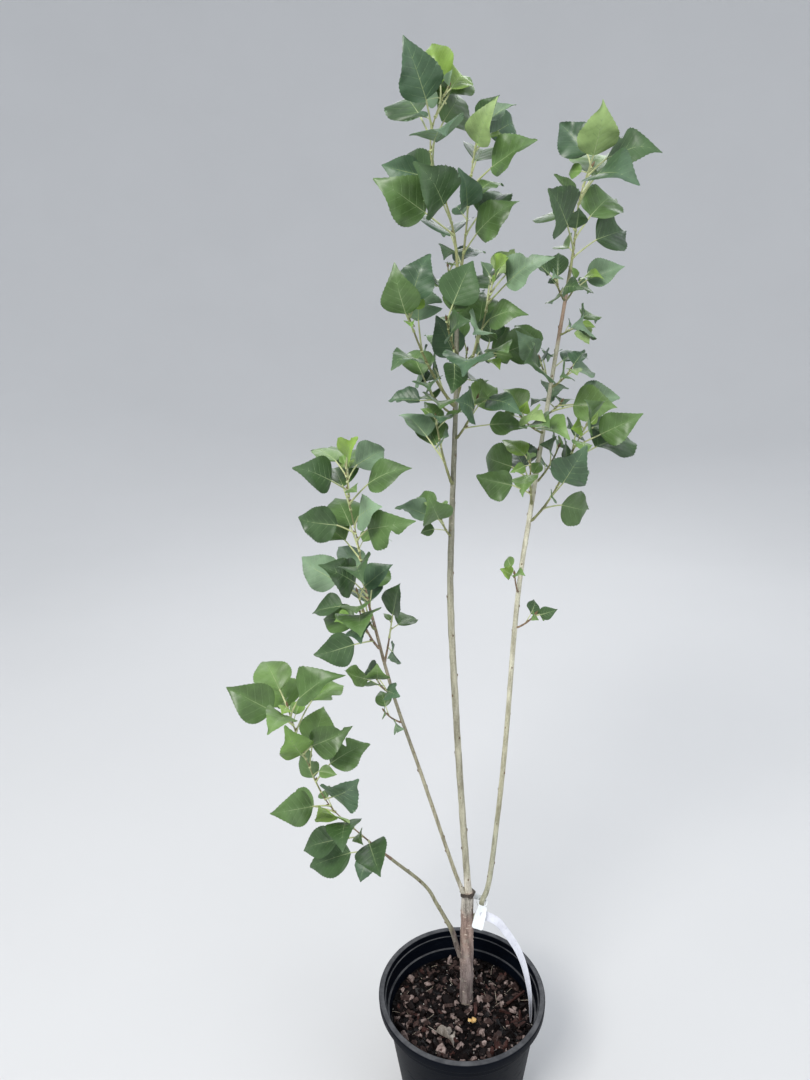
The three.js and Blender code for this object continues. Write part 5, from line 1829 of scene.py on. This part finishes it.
# Smaller leaves between a spray's own, and young ones past TIP_FROM of its twig: how many,
# how large, how often each is drawn, and the worth below which it is left out
SMALL_LEAVES = 3
SMALL_LEAF = 0.42
SMALL_TRIES = 30
SMALL_WORTH = 1.5
TIP_LEAVES = 2
TIP_LEAF_SIZE = 20.0
TIP_FROM = 0.8
TIP_WORTH = -6.0

# Twigs: rows and sides, how far a foot is sunk and swollen, and the low waves along them
TWIG_ROWS = 26
TWIG_SIDES = 10
TWIG_SINK = 1.6
FOOT_SWELL = 0.35
FOOT_SWELL_PART = 0.03
TWIG_WAVE = 0.06
TWIG_WAVES = 34

# Buds: those beside leaves and scars, and those at the tips of twigs
BUD_SIDES = 7
BUD_LENGTH = 5.2
BUD_RADIUS = 1.15
AXIL_LEAN = 0.42
AXIL_SIZES = (1.0, 0.7)
STEM_BUD_SIZES = (0.6, 1.0)
BUD_LEAN = 0.30
BUD_SINK = 0.5
TIP_BUD_LENGTH = 7.6
TIP_BUD_RADIUS = 1.4

# Seeds for the tints, the leaves' own forms and the bark
TINT_SEED = 12
LEAF_SEED = 8
BARK_SEED = 3

# What carries another shoot
CARRIERS = {shoot.parent for shoot in SHOOTS}


def stacked(leaves, rng):
    """Leaves as one array for each measure, each with its own breadth, twist and bite."""
    whole = {key: np.array([leaf[key] for leaf in leaves]) for key in leaves[0]}
    count = len(leaves)
    for key, span in OWN_SPANS.items():
        whole[key] = whole.get(key, 0) + rng.uniform(*span, count)
    whole["bite"] *= rng.uniform(0, 1, count) < BITTEN_SHARE
    whole["bite_at"] = rng.uniform(*BITE_PLACE, count)
    whole["bite_side"] = rng.choice([-1, 1], count)
    whole["bite_length"] = rng.uniform(*BITE_LENGTH, count)
    share = np.interp(whole["foot"][:, 2], TURNED_HEIGHTS, TURNED_SHARES)
    whole["turned"] = rng.uniform(0, 1, count) < share
    return whole


def chosen(leaves, mask):
    """The leaves that a mask picks."""
    return {key: values[mask] for key, values in leaves.items()}


def dealt_tint(family, rng):
    """One of the tints that a family of sprays deals out, by their shares."""
    shares = DEALT[family]
    return TINTS.index(rng.choice(list(shares), p=list(shares.values())))


def tint_of(shoot, index, count, rng):
    """A leaf's tint: the one seen in the photo, or young for the last ones of some sprays, or
    one of its spray's own."""
    if count - index <= YOUNG_TIPS.get(shoot.name, 0):
        tint = TINTS.index("young")
    elif shoot.name in FRESH_SPRAYS:
        tint = dealt_tint("fresh", rng)
    else:
        tint = dealt_tint("mid" if shoot.name in MID_SPRAYS else "deep", rng)
    seen = SEEN_TINTS.get((shoot.name, index))
    return TINTS.index(seen) if seen else tint


def grow_plant():
    """Every twig and leaf: the part's own rule, then smaller leaves by the same rule where
    room is left, and young ones at the tips."""
    grown = {}
    for shoot in SHOOTS:
        grown[shoot.name] = shoot_curve(shoot, grown)
    taken, covered = wood_groups(grown), set()
    large, small = [], []
    rng = np.random.default_rng(TINT_SEED)
    for number, shoot in enumerate(SHOOTS):
        kept = grow_leaves(shoot, grown[shoot.name], SEED + SEED_STEP * number, taken, covered)
        for index, leaf in enumerate(kept):
            large.append({**leaf, "tint": tint_of(shoot, index, len(kept), rng)})
    for number, shoot in enumerate(SHOOTS):
        side = shoot._replace(leaves=SMALL_LEAVES, size=SMALL_LEAF * shoot.size)
        seed = SEED + SEED_STEP * (number + len(SHOOTS))
        curve = grown[shoot.name]
        kept = grow_leaves(side, curve, seed, taken, covered, SMALL_TRIES, SMALL_WORTH)
        family = "fresh" if shoot.name in FRESH_SPRAYS else "mid"
        small += [{**leaf, "tint": dealt_tint(family, rng)} for leaf in kept]
        if shoot.name in CARRIERS:
            continue
        tip = shoot._replace(leaves=TIP_LEAVES, size=TIP_LEAF_SIZE)
        bare = curve._replace(foot=curve.foot + TIP_FROM * (curve.tip - curve.foot))
        bare = bare._replace(bend=(bare.foot + curve.tip) / 2)
        kept = grow_leaves(tip, bare, seed + 1, taken, covered, SMALL_TRIES, TIP_WORTH)
        small += [{**leaf, "tint": dealt_tint("tip", rng)} for leaf in kept]
    return grown, large, small


def add_leaves(large, small, finishes, nodes):
    """Blades joined by tint, then midribs, side veins and stalks, each kind one piece. The
    large leaves come back as arrays."""
    rng = np.random.default_rng(LEAF_SEED)
    large, small = stacked(large, rng), stacked(small, rng)
    for number, tint in enumerate(TINTS):
        parts, uvs, finish_of_face = [], [], []
        for leaves, stations in ((large, LEAF_STATIONS), (small, SMALL_STATIONS)):
            some = chosen(leaves, leaves["tint"] == number)
            if not len(some["size"]):
                continue
            rings, uv, upper = blade_rings(some, stations)
            parts.append(skin(rings))
            uvs.append(uv)
            over = upper.reshape(len(rings), -1) ^ some["turned"][:, None]
            finish_of_face.append(np.where(over, 0, 1).ravel())
        corners, faces = join(parts)
        under = "leaf_under_young" if tint == "young" else "leaf_under"
        add_piece(
            f"leaves_{tint}", corners, faces, [finishes[f"leaf_{tint}"], finishes[under]], "leaf",
            replaces=() if number else nodes, finish_of_face=np.concatenate(finish_of_face),
            uv=np.concatenate(uvs),
        )
    ribs, sides = vein_rings(large)
    small_ribs, _ = vein_rings(small)
    add_piece("midribs", *join([skin(ribs), skin(small_ribs)]), [finishes["vein"]], "leaf")
    add_piece("side_veins", *skin(sides), [finishes["side_vein"]], "leaf")
    stalks = join([skin(stalk_rings(leaves)) for leaves in (large, small)])
    add_piece("petioles", *stalks, [finishes["stalk"]], "leaf")
    return large


def add_twigs(grown, leaves, finishes):
    """Twigs along their curves, a bud in each leaf's axil and a longer one at each tip."""
    t = np.linspace(0, 1, TWIG_ROWS)
    curves = list(grown.values())
    paths = np.stack([twig_place(curve, t) for curve in curves])
    radii = TWIG_SLIMMING * np.stack([twig_radius(curve, t) for curve in curves])
    paths[:, 0] -= TWIG_SINK * np.stack([curve.faces for curve in curves])
    swell = 1 + FOOT_SWELL * np.exp(-t / FOOT_SWELL_PART) + TWIG_WAVE * np.sin(t * TWIG_WAVES)
    brown = np.array([name in BROWN_TWIGS for name in grown])
    pale = np.array([name in PALE_TWIGS for name in grown])
    for name, mask in (("brown", brown), ("pale", pale), ("olive", ~brown & ~pale)):
        rings = tubes(paths[mask], (radii * swell)[mask], TWIG_SIDES)
        add_piece(f"twigs_{name}", *skin(rings), [finishes[f"twig_{name}"]], "stem_bark")
    ways = unit(leaves["along"] + AXIL_LEAN * leaves["out"])
    places = leaves["node"] + 1.2 * leaves["along"] + 0.7 * leaves["out"]
    size = np.interp(leaves["part"], [0, 1], AXIL_SIZES)
    axils = spindle_rings(places, ways, BUD_LENGTH * size, BUD_RADIUS * size)
    tips = [curve for name, curve in grown.items() if name not in CARRIERS]
    ways = np.stack([unit(curve.tip - curve.bend) for curve in tips])
    places = np.stack([curve.tip for curve in tips]) - ways
    sizes = (np.full(len(tips), size) for size in (TIP_BUD_LENGTH, TIP_BUD_RADIUS))
    ends = spindle_rings(places, ways, *sizes)
    add_piece("buds", *join([skin(axils), skin(ends)]), [finishes["bud"]], "stem_bark")


def add_wood(finishes):
    """Trunk and stems with their bark's relief, buds at the stems' scars, and lenticels."""
    rng = np.random.default_rng(BARK_SEED)
    rings = trunk_rings(rng)
    corners, faces = skin(rings)
    level = corners[faces][..., 2].mean(axis=1)
    inside = np.linalg.norm((corners[faces].mean(axis=1) - TRUNK_TOP)[:, :2], axis=1)
    cut = (level > LIP_HEIGHT) & (inside < CUT_RADIUS)
    add_piece(
        "trunk_bark", corners, faces, [finishes["trunk"], finishes["cut"]], "trunk_bark",
        replaces=["trunk"], finish_of_face=cut,
    )
    heights = rng.uniform(TRUNK_FOOT[2] + 6, LIP_HEIGHT - 8, TRUNK_LENTICELS)
    turn = rng.uniform(0, 2 * np.pi, TRUNK_LENTICELS)
    out = level_ways(turn)
    places = trunk_axis(heights) + out * trunk_radius(heights)[:, None]
    widths = np.full(TRUNK_LENTICELS, TRUNK_LENTICEL_WIDTH)
    spots = [(places, out, np.broadcast_to(UP, out.shape), widths)]
    buds = []
    for name, stem in STEMS.items():
        rings, limb = stem_rings(stem, rng)
        node = f"stem_{name}"
        add_piece(f"{name}_stem_bark", *skin(rings), [finishes[node]], "stem_bark", replaces=[node])
        length = limb["along"][-1]
        count = int(length / LENTICEL_STEP)
        along = rng.uniform(6, length - 4, count)
        turn = rng.uniform(0, 2 * np.pi, count)
        spots.append((*on_limb(limb, along, turn), np.full(count, STEM_LENTICEL_WIDTH)))
        along, facing = (np.array(row) for row in zip(*limb["scars"]))
        places, out, up = on_limb(limb, along, facing)
        buds.append((places - BUD_SINK * out, unit(up + BUD_LEAN * out)))
    places, out, up, width = (np.concatenate(rows) for rows in zip(*spots))
    width = width * rng.uniform(*LENTICEL_VARY, len(width))
    tall, rise = LENTICEL_TALL * width, LENTICEL_RISE * width + 0.1
    rings = lens_rings(places - LENTICEL_SINK * out, out, up, width, tall, rise)
    add_piece("lenticels", *skin(rings), [finishes["lenticel"]], "stem_bark")
    places, ways = (np.concatenate(rows) for rows in zip(*buds))
    size = rng.uniform(*STEM_BUD_SIZES, len(places))
    rings = spindle_rings(places, ways, BUD_LENGTH * size, BUD_RADIUS * size)
    add_piece("stem_buds", *skin(rings), [finishes["bud"]], "stem_bark")


# Leaf skins: name, colour and roughness
LEAF_SKINS = {
    "leaf_deep": ("leaf_deep_green", (0.047, 0.098, 0.031), 0.41),
    # bluish green, partly the leaf's own bloom and partly a painted sky reflection
    "leaf_blue": ("leaf_blue_green", (0.062, 0.122, 0.060), 0.41),
    "leaf_mid": ("leaf_mid_green", (0.084, 0.158, 0.042), 0.41),
    "leaf_light": ("leaf_light_green", (0.140, 0.240, 0.066), 0.42),
    "leaf_fresh": ("leaf_fresh_green", (0.158, 0.285, 0.058), 0.41),
    "leaf_young": ("leaf_young_green", (0.200, 0.330, 0.050), 0.42),
    "leaf_under": ("leaf_underside", (0.176, 0.272, 0.158), 0.56),
    "leaf_under_young": ("leaf_underside_young", (0.24, 0.35, 0.12), 0.58),
}

# Young growth: name, dark and pale tint, and roughness
GROWTHS = {
    "vein": ("midrib_pale", (0.30, 0.39, 0.18), (0.46, 0.54, 0.29), 0.5),
    "side_vein": ("side_vein_green", (0.160, 0.262, 0.105), (0.25, 0.36, 0.165), 0.5),
    "stalk": ("petiole_green", (0.40, 0.45, 0.19), (0.57, 0.60, 0.32), 0.45),
    "twig_pale": ("twig_pale_green", (0.22, 0.23, 0.09), (0.42, 0.44, 0.20), 0.5),
    "twig_olive": ("twig_olive", (0.135, 0.140, 0.055), (0.30, 0.31, 0.135), 0.5),
    "twig_brown": ("twig_brown", (0.15, 0.095, 0.060), (0.34, 0.24, 0.15), 0.5),
    "bud": ("bud_brown", (0.085, 0.048, 0.024), (0.22, 0.14, 0.065), 0.40),
    "lenticel": ("lenticel_pale", (0.36, 0.28, 0.22), (0.62, 0.53, 0.45), 0.8),
}

# What lies in the pot: name, dark and pale tint
LOOSE_BITS = {
    # The bed's and the dark chips' near-black is the compost's own dark brown darkened further: painted
    # shade between the chips
    "soil": ("compost_bed_dark", (0.0012, 0.0008, 0.0008), (0.005, 0.0033, 0.003)),
    "chip_dark": ("bark_chip_dark", (0.0022, 0.0014, 0.0013), (0.013, 0.0080, 0.0075)),
    "chip_brown": ("bark_chip_brown", (0.026, 0.0160, 0.0145), (0.105, 0.067, 0.058)),
    "chip_red": ("bark_chip_red", (0.030, 0.013, 0.011), (0.080, 0.036, 0.030)),
    "chip_grey": ("bark_chip_grey", (0.115, 0.082, 0.073), (0.40, 0.31, 0.28)),
    "grit": ("grit_pale", (0.30, 0.28, 0.25), (0.62, 0.60, 0.56)),
    "withered": ("dry_leaf_grey", (0.17, 0.145, 0.12), (0.55, 0.50, 0.44)),
    "straw": ("straw_dry", (0.26, 0.22, 0.165), (0.56, 0.50, 0.41)),
    "amber": ("amber_chip", (0.60, 0.36, 0.12), (0.88, 0.64, 0.30)),
}

# Label plastic: name, bright and dull tint, and the tint of its streaks
LABEL_SKINS = {
    "label": ("label_white", (0.82, 0.86, 0.87), (0.74, 0.77, 0.79), (0.58, 0.58, 0.60)),
    "strip": ("label_strip_white", (0.77, 0.78, 0.84), (0.64, 0.65, 0.71), (0.42, 0.42, 0.49)),
}

# Bark: name, grain scale, relief, and tints from the foot up
BARKS = {
    "trunk": ("trunk_grey_brown", 190.0, 0.9, [
        ((0.130, 0.098, 0.089), (0.41, 0.33, 0.305)),
        (195, 245, (0.148, 0.099, 0.079), (0.44, 0.318, 0.266)),
        (285, 315, (0.165, 0.148, 0.122), (0.68, 0.63, 0.55)),
        (327.5, 330.5, (0.018, 0.014, 0.011), (0.09, 0.07, 0.055)),
    ]),
    "stem_middle": ("middle_stem_buff", 210.0, 0.6, [
        ((0.47, 0.43, 0.35), (0.84, 0.80, 0.69)),
        (340, 366, (0.24, 0.225, 0.160), (0.52, 0.500, 0.375)),
        (690, 890, (0.13, 0.125, 0.088), (0.29, 0.285, 0.22)),
    ]),
    "stem_right": ("right_stem_grey_buff", 210.0, 0.6, [
        ((0.205, 0.203, 0.138), (0.51, 0.505, 0.37)),
        (400, 520, (0.285, 0.268, 0.175), (0.60, 0.58, 0.42)),
        (560, 670, (0.33, 0.31, 0.22), (0.72, 0.70, 0.55)),
        (1018, 1044, (0.19, 0.12, 0.085), (0.42, 0.30, 0.22)),
        (1084, 1100, (0.22, 0.20, 0.11), (0.42, 0.42, 0.25)),
    ]),
    "stem_left": ("left_stem_tan", 230.0, 0.6, [
        ((0.36, 0.33, 0.26), (0.70, 0.66, 0.54)),
        (338, 362, (0.205, 0.188, 0.124), (0.48, 0.45, 0.315)),
        (470, 610, (0.175, 0.158, 0.105), (0.40, 0.37, 0.26)),
        (640, 740, (0.17, 0.11, 0.075), (0.38, 0.28, 0.20)),
    ]),
    "stem_low": ("low_stem_grey", 230.0, 0.6, [
        ((0.095, 0.075, 0.063), (0.25, 0.205, 0.175)),
        (256, 296, (0.185, 0.174, 0.104), (0.41, 0.395, 0.255)),
    ]),
}


def all_finishes():
    """Every material of the plant, its pot and its label."""
    grain_group()
    dust_and_highlight_group()
    venation_group()
    finishes = {
        "pot": finish("pot_plastic_black", pot_look), "cut": finish("cut_wood_pale", cut_look),
    }
    tables = [
        (label_look, LABEL_SKINS), (bark_look, BARKS), (leaf_look, LEAF_SKINS),
        (growth_look, GROWTHS), (chip_look, LOOSE_BITS),
    ]
    for look, table in tables:
        for key, (name, *measures) in table.items():
            finishes[key] = finish(name, look, *measures)
    return finishes


def add_floor():
    """A pale floor, level round the plant, that sweeps up all round far away: past its start
    the profile is a quarter ellipse, radius start + (reach - start) sin a and height
    height (1 - cos a)."""
    a = np.linspace(0, np.pi / 2, SWEEP_ROWS)
    sweep = [SWEEP_START + (SWEEP_REACH - SWEEP_START) * np.sin(a), SWEEP_HEIGHT * (1 - np.cos(a))]
    profile = np.concatenate([[[AXIS_PINCH, 0]], np.stack(sweep, axis=-1)])
    corners = turned(profile).reshape(-1, 3)
    here = np.arange(AROUND)
    row = np.arange(len(profile) - 1)[:, None] * AROUND
    after = (here + 1) % AROUND
    faces = np.stack([row + here, row + AROUND + here, row + AROUND + after, row + after], axis=-1)
    mesh = mesh_of("floor", corners, faces.reshape(-1, 4))
    mesh.polygons.foreach_set("use_smooth", np.full(faces.size // 4, True))
    mesh.materials.append(finish("floor_pale", floor_look))
    in_scene("floor", mesh)


add_camera()
add_sky()
for lamp in LAMPS:
    add_lamp(*lamp)
add_floor()
FINISHES = all_finishes()
pot = add_piece("nursery_pot", *skin(pot_rings()), [FINISHES["pot"]], "pot_plastic", replaces=["pot"])
drill(pot)
add_compost(FINISHES)
add_litter(FINISHES)
add_label(FINISHES)
add_wood(FINISHES)
twigs, large_leaves, small_leaves = grow_plant()
foliage_nodes = [f"foliage_{shoot.name}" for shoot in SHOOTS]
drawn = add_leaves(large_leaves, small_leaves, FINISHES, foliage_nodes)
add_twigs(twigs, drawn, FINISHES)

bpy.context.scene.view_settings.view_transform = "Standard"
